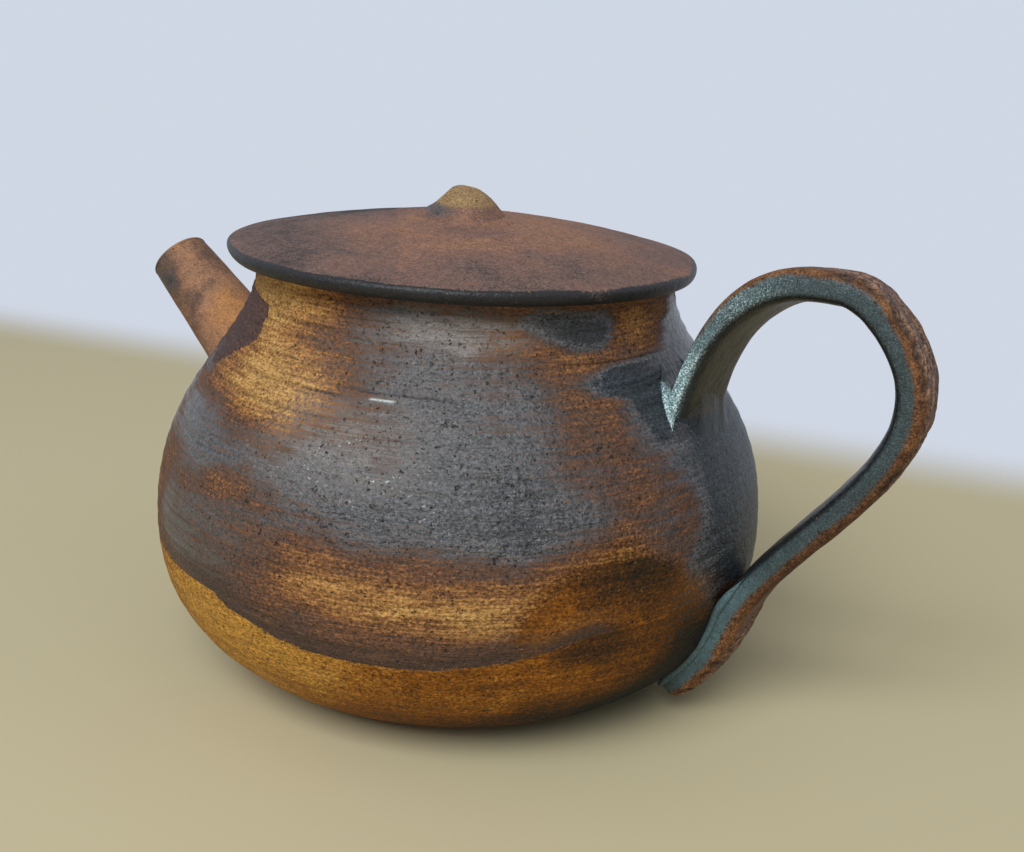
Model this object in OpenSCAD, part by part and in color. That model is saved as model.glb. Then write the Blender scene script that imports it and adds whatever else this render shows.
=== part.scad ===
// Wood-fired stoneware teapot: a thrown pot, a straight spout, a pulled strap handle and a lift-off lid.
// Millimetres. The foot stands on Z = 0, the handle points along +X and the spout along -X.

/* [Pot] */
// Height of the pot from the table to its rim
pot_h = 100.6; // [96:0.2:112]
// Width of the flat foot
foot_d = 88; // [76:1:98]
// Angle at which the wall leaves the foot
foot_angle = 18; // [12:1:30]
// Width of the belly at its widest
belly_d = 149; // [140:1:164]
// Height of the widest point
belly_z = 40; // [36:1:44]
// Width of the neck at its waist
neck_d = 100; // [94:1:106]
// Height of the collar above the waist
collar_h = 3; // [2:0.5:6]
// How far the collar leans out at the rim
collar_flare = 0.8; // [0:0.1:2]
// Thickness of the pot's wall
wall = 5; // [4:0.5:6]
// Thickness of the floor
floor_t = 6; // [5:0.5:9]
// Radius of the rim's outer edge
rim_round = 1.2; // [0.6:0.1:2]

/* [Pot curve] */
// Fullness of the curve just above the foot
foot_full = 0.55; // [0.4:0.01:0.65]
// Fullness of the curve just below the belly
under_full = 0.39; // [0.3:0.01:0.5]
// Fullness of the shoulder
shoulder_full = 0.55; // [0.45:0.01:0.62]
// Fullness of the hollow below the neck
neck_full = 0.3; // [0.2:0.01:0.4]

/* [Spout] */
// Height at which the spout's axis leaves the wall
spout_z = 64; // [58:1:68]
// Rise of the spout above the level
spout_angle = 42; // [36:1:50]
// Length of the spout along its axis, from the wall to the mouth
spout_len = 38; // [30:1:46]
// Outside width at the mouth
mouth_d = 16.2; // [15:0.2:20]
// Outside width where the spout meets the wall
spout_root_d = 21; // [19:0.5:26]
// Extra width of the flare at the seam
spout_flare = 3; // [1:0.5:5]
// Bore of the spout
spout_bore = 10; // [8:0.5:11]
// Width of the bore's funnel at the wall
funnel_d = 16; // [14:0.5:17]
// Length of the funnel
funnel_len = 14; // [10:1:18]
// Radius of the lip at the mouth
lip_round = 1; // [0.5:0.1:1.4]

/* [Strainer] */
// Width of each hole pierced through the wall behind the spout
strainer_hole = 3.6; // [3:0.1:4]
// Holes in the ring round the middle one
strainer_count = 6; // [4:1:6]
// Radius of the ring of holes
strainer_ring_r = 5; // [4.6:0.1:5.4]

/* [Handle] */
// Width of the strap
strap_w = 20; // [16:0.5:24]
// Thickness of the strap
strap_t = 7.2; // [6:0.1:9]
// Height at which the strap starts, inside the wall
root_z = 66; // [62:1:69]
// Steepness of the strap as it leaves the shoulder
root_angle = 83; // [76:1:86]
// Extra width of the strap at its root
root_flare = 4; // [0:0.5:8]
// Share of the strap's outer half that is pressed away at its root
root_press = 0.8; // [0:0.1:0.8]
// Turn of the rising strap about one edge, in degrees
strap_turn = 9; // [0:1:12]
// Height of the top of the strap, before its turn
handle_top = 109.2; // [104:0.2:118]
// How far the handle stands out past the belly
handle_out = 38; // [32:0.5:44]
// Drop from the top of the handle to its outermost point
handle_drop = 21.2; // [18:0.2:28]
// Height at which the tail comes to lie on the belly
tail_top_z = 30; // [27:1:34]
// Height at which the tail ends
tail_end_z = 7; // [5:0.5:10]
// Loss of width at the tail's end
tail_taper = 3; // [0:0.5:6]

/* [Seam coils] */
// Width on the wall of the clay worked round the handle's root
root_coil_w = 5.6; // [3:0.2:7]
// Height up the strap of the clay worked round the handle's root
root_coil_h = 4.6; // [3:0.2:6]
// Width on the wall of the clay worked round the handle's tail
tail_coil_w = 3; // [2.4:0.2:4]
// Height up the strap of the clay worked round the handle's tail
tail_coil_h = 2.4; // [1.6:0.2:3]
// Hairline between a coil and the strap
seam_gap = 0.2; // [0.15:0.05:0.3]

/* [Lid] */
// Width of the lid
lid_d = 110; // [106:0.5:118]
// Height of the lid's crown above the pot's rim
lid_rise = 9.2; // [7:0.2:14]
// Thickness of the lid's rounded edge
lid_edge_t = 3.6; // [3:0.1:5]
// How far the edge hangs below the pot's rim
lid_droop = 0.8; // [0.4:0.1:1.4]
// Thickness of the lid's crown
lid_t = 5; // [4:0.2:6]
// Depth of the flange below the lid
flange_h = 10; // [6:0.5:14]
// Thickness of the flange
flange_t = 4; // [3:0.5:5]
// Gap between the flange and the neck
lid_clear = 1; // [0.6:0.1:1.6]

/* [Knob] */
// Width of the knob at its base
knob_d = 19; // [15:0.5:24]
// Height of the knob
knob_h = 7.6; // [5:0.2:12]
// How far the knob's top leans toward the handle
knob_lean = 1.6; // [0:0.1:3]

/* [Hidden] */
$fn = 360;

// Cuts run this far past the face that they open
over = 1;

// Colours of the fired clay
clay_brown = [0.36, 0.23, 0.15];
clay_ochre = [0.55, 0.35, 0.16];
clay_slate = [0.30, 0.33, 0.34];

// A cubic curve from a to d, drawn toward b and then c
function curve_at(a, b, c, d, t) =
    pow(1 - t, 3) * a + 3 * pow(1 - t, 2) * t * b + 3 * (1 - t) * t * t * c + pow(t, 3) * d;
function curve(a, b, c, d, steps) = [for (i = [0:steps]) curve_at(a, b, c, d, i / steps)];
function arc(centre, r, from, to, steps) =
    [for (i = [0:steps]) let (t = from + (to - from) * i / steps) centre + r * [cos(t), sin(t)]];
function tail_of(list) = [for (i = [1:len(list) - 1]) list[i]];
function unit(v) = v / norm(v);
function mix(a, b, t) = a + (b - a) * t;

// Outer profile of the pot, from the foot to the rim, as [radius, height]
foot_r = foot_d / 2;
belly_r = belly_d / 2;
neck_r = neck_d / 2;
rim_r = neck_r + collar_flare;
neck_z = pot_h - collar_h;
shoulder_h = neck_z - belly_z;
curve_steps = 16;
round_steps = 4;
under_belly = curve(
    [foot_r, 0],
    [foot_r, 0] + foot_full * belly_z * [cos(foot_angle), sin(foot_angle)],
    [belly_r, belly_z * (1 - under_full)],
    [belly_r, belly_z],
    curve_steps);
shoulder = curve(
    [belly_r, belly_z],
    [belly_r, belly_z + shoulder_full * shoulder_h],
    [neck_r, neck_z - neck_full * shoulder_h],
    [neck_r, neck_z],
    curve_steps);
rim_edge = arc([rim_r - rim_round, pot_h - rim_round], rim_round, 0, 90, round_steps);
outside = concat(under_belly, tail_of(shoulder), rim_edge);

// Radius of the pot's outside at a height, and the outward direction of its wall there
function pot_r(z) = lookup(z, [for (p = outside) [p.y, p.x]]);
wall_sample = 3;
function wall_out(z) =
    let (dr = pot_r(z + wall_sample) - pot_r(z - wall_sample)) unit([2 * wall_sample, -dr]);

// Inner profile: the outer one moved in by the wall, above a flat floor
inside_curve = concat(under_belly, tail_of(shoulder));
inside = [
    for (i = [1:len(inside_curve) - 2])
        let (along = unit(inside_curve[i + 1] - inside_curve[i - 1]))
            inside_curve[i] + wall * [-along.y, along.x]
];
floor_r = lookup(floor_t, [for (p = inside) [p.y, p.x]]);
neck_inner_r = neck_r - wall;
rim_inner_r = rim_r - wall;

// The spout's axis leaves the wall at spout_seat
spout_seat = [-pot_r(spout_z), 0, spout_z];
spout_sink = spout_root_d / 2 + wall;

// Middle line of the strap as [x, z]: up from the shoulder, over the top, down to the belly and along it
root_sink = 1.46 * strap_t;
root = [pot_r(root_z) - root_sink, root_z];
bend_x = belly_r + handle_out - strap_t / 2;
top_share = 0.69;
top = [mix(root.x, bend_x, top_share), handle_top - strap_t / 2];
bend = [bend_x, top.y - handle_drop];
tail_bite = 0.3;
function tail_at(z) = [pot_r(z), z] + (strap_t / 2 - tail_bite) * wall_out(z);
lay = tail_at(tail_top_z);
lay_dir = unit(lay - tail_at(tail_top_z - wall_sample));

// The strap's three curves. Each holds its first direction, and then its last one, for a share of its run.
rise_len = top.y - root.y;
rise_hold = [0.86, 0.45];
rise_steps = 12;
rise = curve(
    root,
    root + rise_hold[0] * rise_len * [cos(root_angle), sin(root_angle)],
    top - [rise_hold[1] * rise_len, 0],
    top,
    rise_steps);
reach_len = bend_x - top.x;
reach_hold = [0.40, 0.48];
reach_steps = 10;
reach = curve(
    top,
    top + [reach_hold[0] * reach_len, 0],
    bend + [0, reach_hold[1] * handle_drop],
    bend,
    reach_steps);
fall_len = bend.y - lay.y;
fall_hold = [0.35, 0.34];
fall_steps = 14;
fall = curve(
    bend,
    bend - [0, fall_hold[0] * fall_len],
    lay + fall_hold[1] * fall_len * lay_dir,
    lay,
    fall_steps);

// The tail follows the wall
tail_steps = 10;
tail_z = [for (i = [1:tail_steps]) mix(tail_top_z, tail_end_z, i / tail_steps)];
tail = [for (z = tail_z) tail_at(z)];
strap_path = concat(rise, tail_of(reach), tail_of(fall), tail);
strap_n = len(strap_path);

// Direction of the strap at a station, and the direction of its outer face
function strap_along(i) = unit(strap_path[min(i + 1, strap_n - 1)] - strap_path[max(i - 1, 0)]);
function strap_face(i) = let (d = strap_along(i)) [-d.y, d.x];

// The strap widens into its root, narrows down the tail and closes in a round end
root_run = 8;
end_run = 3;
end_blunt = 0.4;
function root_share(i) = pow(max(0, 1 - i / root_run), 2);
function tail_share(i) = max(0, (i - (strap_n - tail_steps)) / tail_steps);
function end_share(i) =
    let (q = max(0, (i - (strap_n - 1 - end_run)) / (end_run + end_blunt))) sqrt(1 - q * q);
function strap_wide(i) = (strap_w + root_flare * root_share(i) - tail_taper * tail_share(i)) * end_share(i);
function strap_thick(i) = strap_t * end_share(i);

// Going from one station to a later one, the pressed root fills out and the strap turns back to lie square
function fade(i, from, to) = let (t = min(1, max(0, (i - from) / (to - from)))) 1 - t * t * (3 - 2 * t);
function press_at(i) = 1 - root_press * fade(i, 3, 9);
function turn_at(i) = strap_turn * fade(i, 10, 33);

// Rounded strap section: a squarish oval, turned about its edge at -Y
section_n = 24;
section_power = 0.55;
function squared(v) = sign(v) * pow(abs(v), section_power);
function strap_point(i, k) =
    let (
        angle = 360 * k / section_n,
        half_w = strap_wide(i) / 2,
        across = half_w * squared(cos(angle)),
        up = strap_thick(i) / 2 * squared(sin(angle)) * (k < section_n / 2 ? press_at(i) : 1),
        turn = turn_at(i),
        face = up * cos(turn) - (across + half_w) * sin(turn),
        p = strap_path[i] + face * strap_face(i)
    ) [p.x, across * cos(turn) + up * sin(turn), p.y];

// Faces of a stack of closed rings, with its two ends capped or joined to each other
function ring_faces(rings, sides, closed) = concat(
    [
        for (i = [0:rings - (closed ? 1 : 2)], k = [0:sides - 1], half = [0, 1])
            let (
                a = i * sides + k,
                b = i * sides + (k + 1) % sides,
                c = ((i + 1) % rings) * sides + k,
                d = ((i + 1) % rings) * sides + (k + 1) % sides
            ) half == 0 ? [a, c, b] : [b, c, d]
    ],
    closed ? [] : [
        [for (k = [0:sides - 1]) k],
        [for (k = [sides - 1:-1:0]) (rings - 1) * sides + k]
    ]);

// Outward direction of the pot's wall at a point near it
function wall_out_at(p) = let (o = wall_out(p.z), r = norm([p.x, p.y])) [o.x * p.x / r, o.x * p.y / r, o.y];

// A clay coil smoothed into the corner between the wall and the strap. The section is a hollow fillet:
// [away from the strap along the wall, up the strap], with its foot sunk into the wall.
coil_steps = 6;
coil_sink = 1.5;
function coil_section(w, h) = concat(
    [[seam_gap, -coil_sink], [w, -coil_sink]],
    [
        for (i = [0:coil_steps])
            let (t = 90 * i / coil_steps) [w - (w - seam_gap) * sin(t), h * (1 - cos(t))]
    ]);

// Each corner is [point on the wall, direction up the strap, width of the coil, height of the coil]
module coil(corners, closed) {
    n = len(corners);
    sides = len(coil_section(1, 1));
    points = [
        for (i = [0:n - 1])
            let (
                p = corners[i][0],
                up = corners[i][1],
                ahead = corners[closed ? (i + 1) % n : min(i + 1, n - 1)][0],
                behind = corners[closed ? (i + n - 1) % n : max(i - 1, 0)][0],
                away = unit(cross(wall_out_at(p), ahead - behind))
            )
            for (q = coil_section(corners[i][2], corners[i][3])) p + q.x * away + q.y * up
    ];
    polyhedron(points, ring_faces(n, sides, closed));
}

// Where the strap's skin comes out of the shoulder, going once round its section. The coil leans along the
// skin: on the side of the finger gap the strap bends over it, so the lean is taken from farther on there.
function proud(p) = norm([p.x, p.y]) - pot_r(p.z);
function last_sunk(k) = max([for (i = [0:rise_steps]) if (proud(strap_point(i, k)) < 0) i]);
root_corners = [
    for (k = [section_n - 1:-1:0])
        let (
            i = last_sunk(k),
            a = strap_point(i, k),
            b = strap_point(i + 1, k),
            corner = mix(a, b, proud(a) / (proud(a) - proud(b))),
            ahead = i + (k > section_n / 2 ? 2 : 1)
        ) [corner, unit(strap_point(ahead, k) - corner), root_coil_w, root_coil_h]
];

// Round the tail: down one side of the strap, under its end and up the other side
tail_first = strap_n - 1 - tail_steps;
tail_side = [
    for (i = [0:tail_steps]) [strap_wide(tail_first + i) / 2, mix(tail_top_z, tail_end_z, i / tail_steps)]
];
tail_toe = [0, tail_end_z - 2 * seam_gap];
tail_outline = concat(
    tail_side,
    [tail_toe],
    [for (i = [tail_steps:-1:0]) [-tail_side[i].x, tail_side[i].y]]);
smeared_end = 0.5;
function smear(i) = mix(smeared_end, 1, sqrt(sin(180 * i / (len(tail_outline) - 1))));
tail_corners = [
    for (i = [0:len(tail_outline) - 1])
        let (
            q = tail_outline[i],
            p = [sqrt(pow(pot_r(q.y), 2) - q.x * q.x), q.x, q.y]
        ) [p, wall_out_at(p), tail_coil_w * smear(i), tail_coil_h * smear(i)]
];

// Lid: rounded edge, shallow crown with a flat seat for the knob, hollow underside
lid_r = lid_d / 2;
lid_top_z = pot_h + lid_rise;
edge_r = lid_edge_t / 2;
// The edge hangs down only where the lid reaches past the rim, clear of the rim by lip_gap
lip_gap = 1.2;
edge_out = lid_r - edge_r;
lid_lip_r = min(rim_r + lip_gap, edge_out);
edge_drop = min(lid_droop, edge_out - lid_lip_r);
edge_centre = [edge_out, pot_h - edge_drop + edge_r];
edge_slope = 14;
edge_steps = 10;
edge_arc = arc(edge_centre, edge_r, -90, 90 - edge_slope, edge_steps);
crown_foot = edge_arc[len(edge_arc) - 1];
knob_r = knob_d / 2;
crown_drop = (lid_top_z - crown_foot.y) / (pow(crown_foot.x, 2) - pow(knob_r, 2));
function crown_z(r) = lid_top_z - crown_drop * (r * r - knob_r * knob_r);
crown_steps = 14;
flange_r = neck_inner_r - lid_clear;
flange_inner_r = flange_r - flange_t;
hollow_steps = 10;

module pot_solid() {
    rotate_extrude() polygon(concat([[0, 0]], outside, [[0, pot_h]]));
}

module along_spout() {
    translate(spout_seat) rotate([0, spout_angle - 90, 0]) children();
}

module pot() {
    color(clay_brown) difference() {
        pot_solid();
        rotate_extrude() polygon(concat(
            [[0, floor_t], [floor_r, floor_t]],
            [for (p = inside) if (p.y > floor_t) p],
            [[rim_inner_r, pot_h], [rim_inner_r, pot_h + over], [0, pot_h + over]]));
        along_spout() {
            translate([0, 0, -spout_sink]) cylinder(d = strainer_hole, h = 2 * spout_sink);
            for (i = [0:strainer_count - 1])
                rotate(360 * i / strainer_count) translate([strainer_ring_r, 0, -spout_sink])
                    cylinder(d = strainer_hole, h = 2 * spout_sink);
        }
    }
}

module spout() {
    root_r = spout_root_d / 2;
    mouth_r = mouth_d / 2;
    flare_end = spout_len / 4;
    flank = curve(
        [root_r + spout_flare, -spout_sink],
        [root_r, 0],
        [root_r, flare_end],
        [mouth_r, spout_len - lip_round],
        curve_steps);
    lip = arc([mouth_r - lip_round, spout_len - lip_round], lip_round, 0, 90, round_steps);
    color(clay_brown) difference() {
        along_spout() rotate_extrude()
            polygon(concat([[0, -spout_sink]], flank, tail_of(lip), [[0, spout_len]]));
        pot_solid();
        along_spout() {
            cylinder(d = spout_bore, h = spout_len + over);
            translate([0, 0, -spout_sink]) cylinder(d = funnel_d, h = spout_sink + over);
            translate([0, 0, over]) cylinder(d1 = funnel_d, d2 = spout_bore, h = funnel_len - over);
        }
    }
}

module strap() {
    polyhedron(
        [for (i = [0:strap_n - 1], k = [0:section_n - 1]) strap_point(i, k)],
        ring_faces(strap_n, section_n, false));
}

module handle() {
    color(clay_slate) difference() {
        strap();
        pot_solid();
    }
}

module handle_root_coil() {
    color(clay_slate) difference() {
        coil(root_corners, true);
        pot_solid();
    }
}

module handle_tail_coil() {
    color(clay_slate) difference() {
        coil(tail_corners, false);
        pot_solid();
    }
}

module lid_plate() {
    crown = [
        for (i = [1:crown_steps])
            let (r = mix(crown_foot.x, knob_r, i / crown_steps)) [r, crown_z(r)]
    ];
    hollow = [
        for (i = [0:hollow_steps])
            let (r = flange_inner_r * i / hollow_steps) [r, crown_z(max(r, knob_r)) - lid_t]
    ];
    color(clay_brown) rotate_extrude() polygon(concat(
        hollow,
        [[flange_inner_r, pot_h], [lid_lip_r, pot_h], [lid_lip_r + edge_drop, pot_h - edge_drop]],
        edge_arc,
        crown,
        [[0, lid_top_z]]));
}

module lid_flange() {
    bevel = flange_t / 4;
    color(clay_brown) rotate_extrude() polygon([
        [flange_inner_r, pot_h],
        [flange_inner_r, pot_h - flange_h + bevel],
        [flange_inner_r + bevel, pot_h - flange_h],
        [flange_r - bevel, pot_h - flange_h],
        [flange_r, pot_h - flange_h + bevel],
        [flange_r, pot_h]
    ]);
}

module knob() {
    rings = 12;
    sides = 28;
    skirt = 0.25;
    tip_share = 0.1;
    mound = 1.3;
    points = [
        for (i = [0:rings], k = [0:sides - 1])
            let (
                share = i == 0 ? 1 : mix(1, tip_share, (i - 1) / (rings - 1)),
                r = knob_r * share,
                h = i == 0 ? 0 : skirt + (knob_h - skirt) * (1 + cos(180 * pow(share, mound))) / 2,
                angle = 360 * k / sides
            ) [r * cos(angle) + knob_lean * h / knob_h, r * sin(angle), h]
    ];
    color(clay_ochre) translate([0, 0, lid_top_z])
        polyhedron(points, ring_faces(rings + 1, sides, false));
}

pot();
spout();
handle();
handle_root_coil();
handle_tail_coil();
lid_plate();
lid_flange();
knob();
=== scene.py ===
"""Wood-fired stoneware teapot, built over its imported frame.

Shapes are worked out in millimetres in the part's own frame: the foot stands on Z = 0, the handle
points along +X and the spout along -X. Each mesh is turned into metres when it is made.
"""
import math
import random
from functools import cached_property

import bpy
import numpy as np
from mathutils import Matrix, Vector, noise


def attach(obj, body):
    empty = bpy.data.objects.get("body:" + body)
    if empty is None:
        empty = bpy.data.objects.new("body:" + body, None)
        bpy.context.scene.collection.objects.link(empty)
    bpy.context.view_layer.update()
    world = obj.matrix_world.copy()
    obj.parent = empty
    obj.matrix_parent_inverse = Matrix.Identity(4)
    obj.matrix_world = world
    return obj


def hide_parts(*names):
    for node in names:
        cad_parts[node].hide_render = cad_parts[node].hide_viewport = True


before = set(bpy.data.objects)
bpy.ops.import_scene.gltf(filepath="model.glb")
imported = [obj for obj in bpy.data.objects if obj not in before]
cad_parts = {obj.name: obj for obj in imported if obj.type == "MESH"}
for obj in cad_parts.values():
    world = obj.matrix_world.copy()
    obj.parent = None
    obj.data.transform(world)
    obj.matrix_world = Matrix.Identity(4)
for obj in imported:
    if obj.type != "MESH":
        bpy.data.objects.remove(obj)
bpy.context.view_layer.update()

MM = 0.001

# Driving dimensions of the part, in millimetres
POT_H, FOOT_R, FOOT_ANGLE = 100.6, 44.0, 18.0
BELLY_R, BELLY_Z = 74.5, 40.0
NECK_R, COLLAR_H, COLLAR_FLARE, RIM_ROUND = 50.0, 3.0, 0.8, 1.2
WALL, FLOOR_T = 5.0, 6.0
FOOT_FULL, UNDER_FULL, SHOULDER_FULL, NECK_FULL = 0.55, 0.39, 0.55, 0.3
SPOUT_Z, SPOUT_ANGLE, SPOUT_LEN = 64.0, 42.0, 38.0
MOUTH_R, SPOUT_ROOT_R, SPOUT_FLARE = 8.1, 10.5, 3.0
BORE_R, FUNNEL_R, FUNNEL_LEN, LIP_ROUND = 5.0, 8.0, 14.0, 1.0
STRAINER_HOLE, STRAINER_COUNT, STRAINER_RING_R = 3.6, 6, 5.0
STRAP_W, STRAP_T, ROOT_Z, ROOT_ANGLE, ROOT_FLARE = 20.0, 7.2, 66.0, 83.0, 4.0
ROOT_PRESS, STRAP_TURN = 0.8, 9.0
HANDLE_TOP, HANDLE_OUT, HANDLE_DROP = 109.2, 38.0, 21.2
TAIL_TOP_Z, TAIL_END_Z, TAIL_TAPER = 30.0, 7.0, 3.0
LID_R, LID_RISE, LID_EDGE_T, LID_DROOP, LID_T = 55.0, 9.2, 3.6, 0.8, 5.0
FLANGE_H, FLANGE_T, LID_CLEAR = 10.0, 4.0, 1.0
KNOB_R, KNOB_H = 9.5, 7.6

# The camera of the photograph: place, direction, roll and focal length in image widths
CAMERA_AT = (156.3, -240.7, 149.0)
CAMERA_AHEAD = (-0.4848, 0.8210, -0.3017)
CAMERA_ROLL = 2.2
FOCAL_SHARE = 1200 / 1024
SENSOR = 36.0


# Lines and curves


def curve(a, b, c, d, steps=120):
    """A cubic curve from a to d, drawn toward b and then c."""
    t = np.linspace(0, 1, steps + 1)[:, None]
    a, b, c, d = (np.array(p, float) for p in (a, b, c, d))
    return (1 - t) ** 3 * a + 3 * (1 - t) ** 2 * t * b + 3 * (1 - t) * t ** 2 * c + t ** 3 * d


def arc(centre, r, start, end, steps=10):
    t = np.radians(np.linspace(start, end, steps + 1))
    return np.array(centre, float) + r * np.column_stack([np.cos(t), np.sin(t)])


def lengths(points):
    """Distance along a line at each of its points."""
    return np.concatenate([[0], np.cumsum(np.linalg.norm(np.diff(points, axis=0), axis=1))])


def resample(points, spacing):
    """The same line with its points an even distance apart."""
    points = np.array(points, float)
    along = lengths(points)
    at = np.linspace(0, along[-1], max(2, round(along[-1] / spacing)) + 1)
    return np.column_stack([np.interp(at, along, points[:, k]) for k in range(points.shape[1])])


def smooth(x, lo, hi):
    """0 below lo, 1 above hi and an even blend between them. Works either way round."""
    t = np.clip((np.asarray(x, float) - lo) / (hi - lo), 0, 1)
    return t * t * (3 - 2 * t)


def hump(x, centre, half):
    """A soft bump of height 1."""
    return np.exp(-((np.asarray(x, float) - centre) / half) ** 2)


def unit(vectors):
    """The same directions with a length of 1."""
    return vectors / np.linalg.norm(vectors, axis=-1, keepdims=True)


def turned(angle, middle):
    """How far an angle lies from a middle one, between -180 and 180 degrees."""
    return (angle - middle + 180) % 360 - 180


def last_inside(t, inside):
    """The last value in each column of t that is inside."""
    last = inside.shape[0] - 1 - np.argmax(inside[::-1], axis=0)
    return t[last, np.arange(t.shape[1])]


def rough(points, size, seed=0.0, octaves=3):
    """Smooth noise between about -1 and 1 at each point, with features of about the given size."""
    flat = np.asarray(points, float).reshape(-1, 3) / size
    places = flat + np.array([seed, -seed, 2 * seed])
    values = [noise.fractal(Vector(place), 1.0, 2.0, octaves) for place in places]
    return np.array(values).reshape(np.asarray(points).shape[:-1])


def soft_field(points, size, seed, step=4):
    """Smooth noise over a turned grid of points, worked out at every few of them and filled in between."""
    coarse = rough(points[::step, ::step], size, seed, 2)
    coarse = np.concatenate([coarse, coarse[:, :1]], axis=1)
    rows = np.minimum(np.arange(points.shape[0]) / step, coarse.shape[0] - 1)
    columns = np.arange(points.shape[1]) / step
    i, k = rows.astype(int), columns.astype(int)
    below = np.minimum(i + 1, coarse.shape[0] - 1)
    down, over = (rows - i)[:, None], (columns - k)[None, :]
    upper = (1 - over) * coarse[np.ix_(i, k)] + over * coarse[np.ix_(i, k + 1)]
    lower = (1 - over) * coarse[np.ix_(below, k)] + over * coarse[np.ix_(below, k + 1)]
    return (1 - down) * upper + down * lower


# The pot's wall

neck_z = POT_H - COLLAR_H
shoulder_h = neck_z - BELLY_Z
rim_r = NECK_R + COLLAR_FLARE
foot_lean = np.array([math.cos(math.radians(FOOT_ANGLE)), math.sin(math.radians(FOOT_ANGLE))])
under_belly = curve(
    [FOOT_R, 0],
    np.array([FOOT_R, 0]) + FOOT_FULL * BELLY_Z * foot_lean,
    [BELLY_R, BELLY_Z * (1 - UNDER_FULL)],
    [BELLY_R, BELLY_Z])
shoulder = curve(
    [BELLY_R, BELLY_Z],
    [BELLY_R, BELLY_Z + SHOULDER_FULL * shoulder_h],
    [NECK_R, neck_z - NECK_FULL * shoulder_h],
    [NECK_R, neck_z])
wall_line = np.vstack([under_belly, shoulder[1:]])
WALL_SAMPLE = 1.0


def wall_r(z):
    return np.interp(z, wall_line[:, 1], wall_line[:, 0])


def wall_normal(z):
    """Radial and upward parts of the wall's outward direction."""
    slope = (wall_r(np.asarray(z) + WALL_SAMPLE) - wall_r(np.asarray(z) - WALL_SAMPLE)) / (2 * WALL_SAMPLE)
    size = np.sqrt(1 + slope ** 2)
    return 1 / size, -slope / size


def wall_out(points):
    """Outward direction of the wall near each point."""
    radial, up = wall_normal(points[..., 2])
    r = np.hypot(points[..., 0], points[..., 1])
    return np.stack([radial * points[..., 0] / r, radial * points[..., 1] / r, up], axis=-1)


def proud(points):
    """How far each point lies outside the wall, measured level."""
    return np.hypot(points[..., 0], points[..., 1]) - wall_r(points[..., 2])


def on_wall(points, lift):
    """The points moved level onto the wall and then out from it by lift."""
    scale = wall_r(points[..., 2]) / np.hypot(points[..., 0], points[..., 1])
    flat = np.stack([points[..., 0] * scale, points[..., 1] * scale, points[..., 2]], axis=-1)
    return flat + np.asarray(lift)[..., None] * wall_out(flat)


# The neck and the lid lean a little toward the camera's right, as the photograph shows
TILT = 0.024
TILT_ALONG = (0.861, 0.508)
TILT_FROM, TILT_TO = 62.0, 98.0


def tilt(points, fade=True):
    points = np.array(points, float)
    reach = points[..., 0] * TILT_ALONG[0] + points[..., 1] * TILT_ALONG[1]
    share = smooth(points[..., 2], TILT_FROM, TILT_TO) if fade else 1.0
    points[..., 2] -= TILT * reach * share
    return points


# Meshes


def grid_faces(rows, columns):
    """Quads of a grid whose columns run once round. Their normals point outward if row 0 is the lowest."""
    i, k = np.meshgrid(np.arange(rows - 1), np.arange(columns), indexing="ij")
    a = i * columns + k
    b = i * columns + (k + 1) % columns
    return np.stack([a, b, b + columns, a + columns], axis=-1).reshape(-1, 4).tolist()


def tube_faces(rows, columns):
    """The same grid with a flat cap at each end."""
    first, last = range(columns), range((rows - 1) * columns, rows * columns)
    return grid_faces(rows, columns) + [list(reversed(first)), list(last)]


def ring_faces(rows, columns):
    """The same grid with its last row joined to its first."""
    last = (rows - 1) * columns
    join = [[last + k, last + (k + 1) % columns, (k + 1) % columns, k] for k in range(columns)]
    return grid_faces(rows, columns) + join


def new_mesh(name, points, faces):
    mesh = bpy.data.meshes.new(name)
    mesh.from_pydata((np.asarray(points, float).reshape(-1, 3) * MM).tolist(), [], faces)
    return mesh


def new_object(name, data):
    item = bpy.data.objects.new(name, data)
    bpy.context.scene.collection.objects.link(item)
    return item


# Edges with a larger angle than this, in degrees, are shown sharp
SHARP_ANGLE = 40.0


def make(name, points, faces, material, body, nodes, values=None, sharp=SHARP_ANGLE):
    """A piece from points in millimetres.

    values holds named numbers or vectors, one per point, for the piece's material.
    """
    mesh = new_mesh(name, points, faces)
    for key, data in (values or {}).items():
        data = np.asarray(data, np.float32).ravel()
        is_vector = data.size == 3 * len(mesh.vertices)
        layer = mesh.attributes.new(key, "FLOAT_VECTOR" if is_vector else "FLOAT", "POINT")
        layer.data.foreach_set("vector" if is_vector else "value", data)
    mesh.validate()
    mesh.shade_smooth()
    mesh.set_sharp_from_angle(angle=math.radians(sharp))
    mesh.materials.append(material)
    piece = new_object(name, mesh)
    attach(piece, body)
    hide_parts(*nodes)
    return piece


# A turned shape is closed at the axis by a cap of this radius
AXIS_R = 0.05


def lathe(profile, columns):
    """Points of a turned shape, rows by columns, and the turn of each column."""
    turn = np.linspace(0, 2 * math.pi, columns, endpoint=False)
    profile = np.asarray(profile, float)
    points = np.stack([
        profile[:, :1] * np.cos(turn),
        profile[:, :1] * np.sin(turn),
        np.repeat(profile[:, 1:], columns, axis=1)], axis=-1)
    return points, turn


def profile_normals(profile):
    """Outward directions of a profile that runs up the outside."""
    along = unit(np.gradient(np.asarray(profile, float), axis=0))
    return np.column_stack([along[:, 1], -along[:, 0]])


def shift_out(points, turn, normals, amount):
    """Moves lathed points along the normals of their profile."""
    out = np.stack([
        normals[:, :1] * np.cos(turn), normals[:, :1] * np.sin(turn),
        np.repeat(normals[:, 1:], len(turn), axis=1)], axis=-1)
    return points + amount[..., None] * out


# Materials


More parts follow.
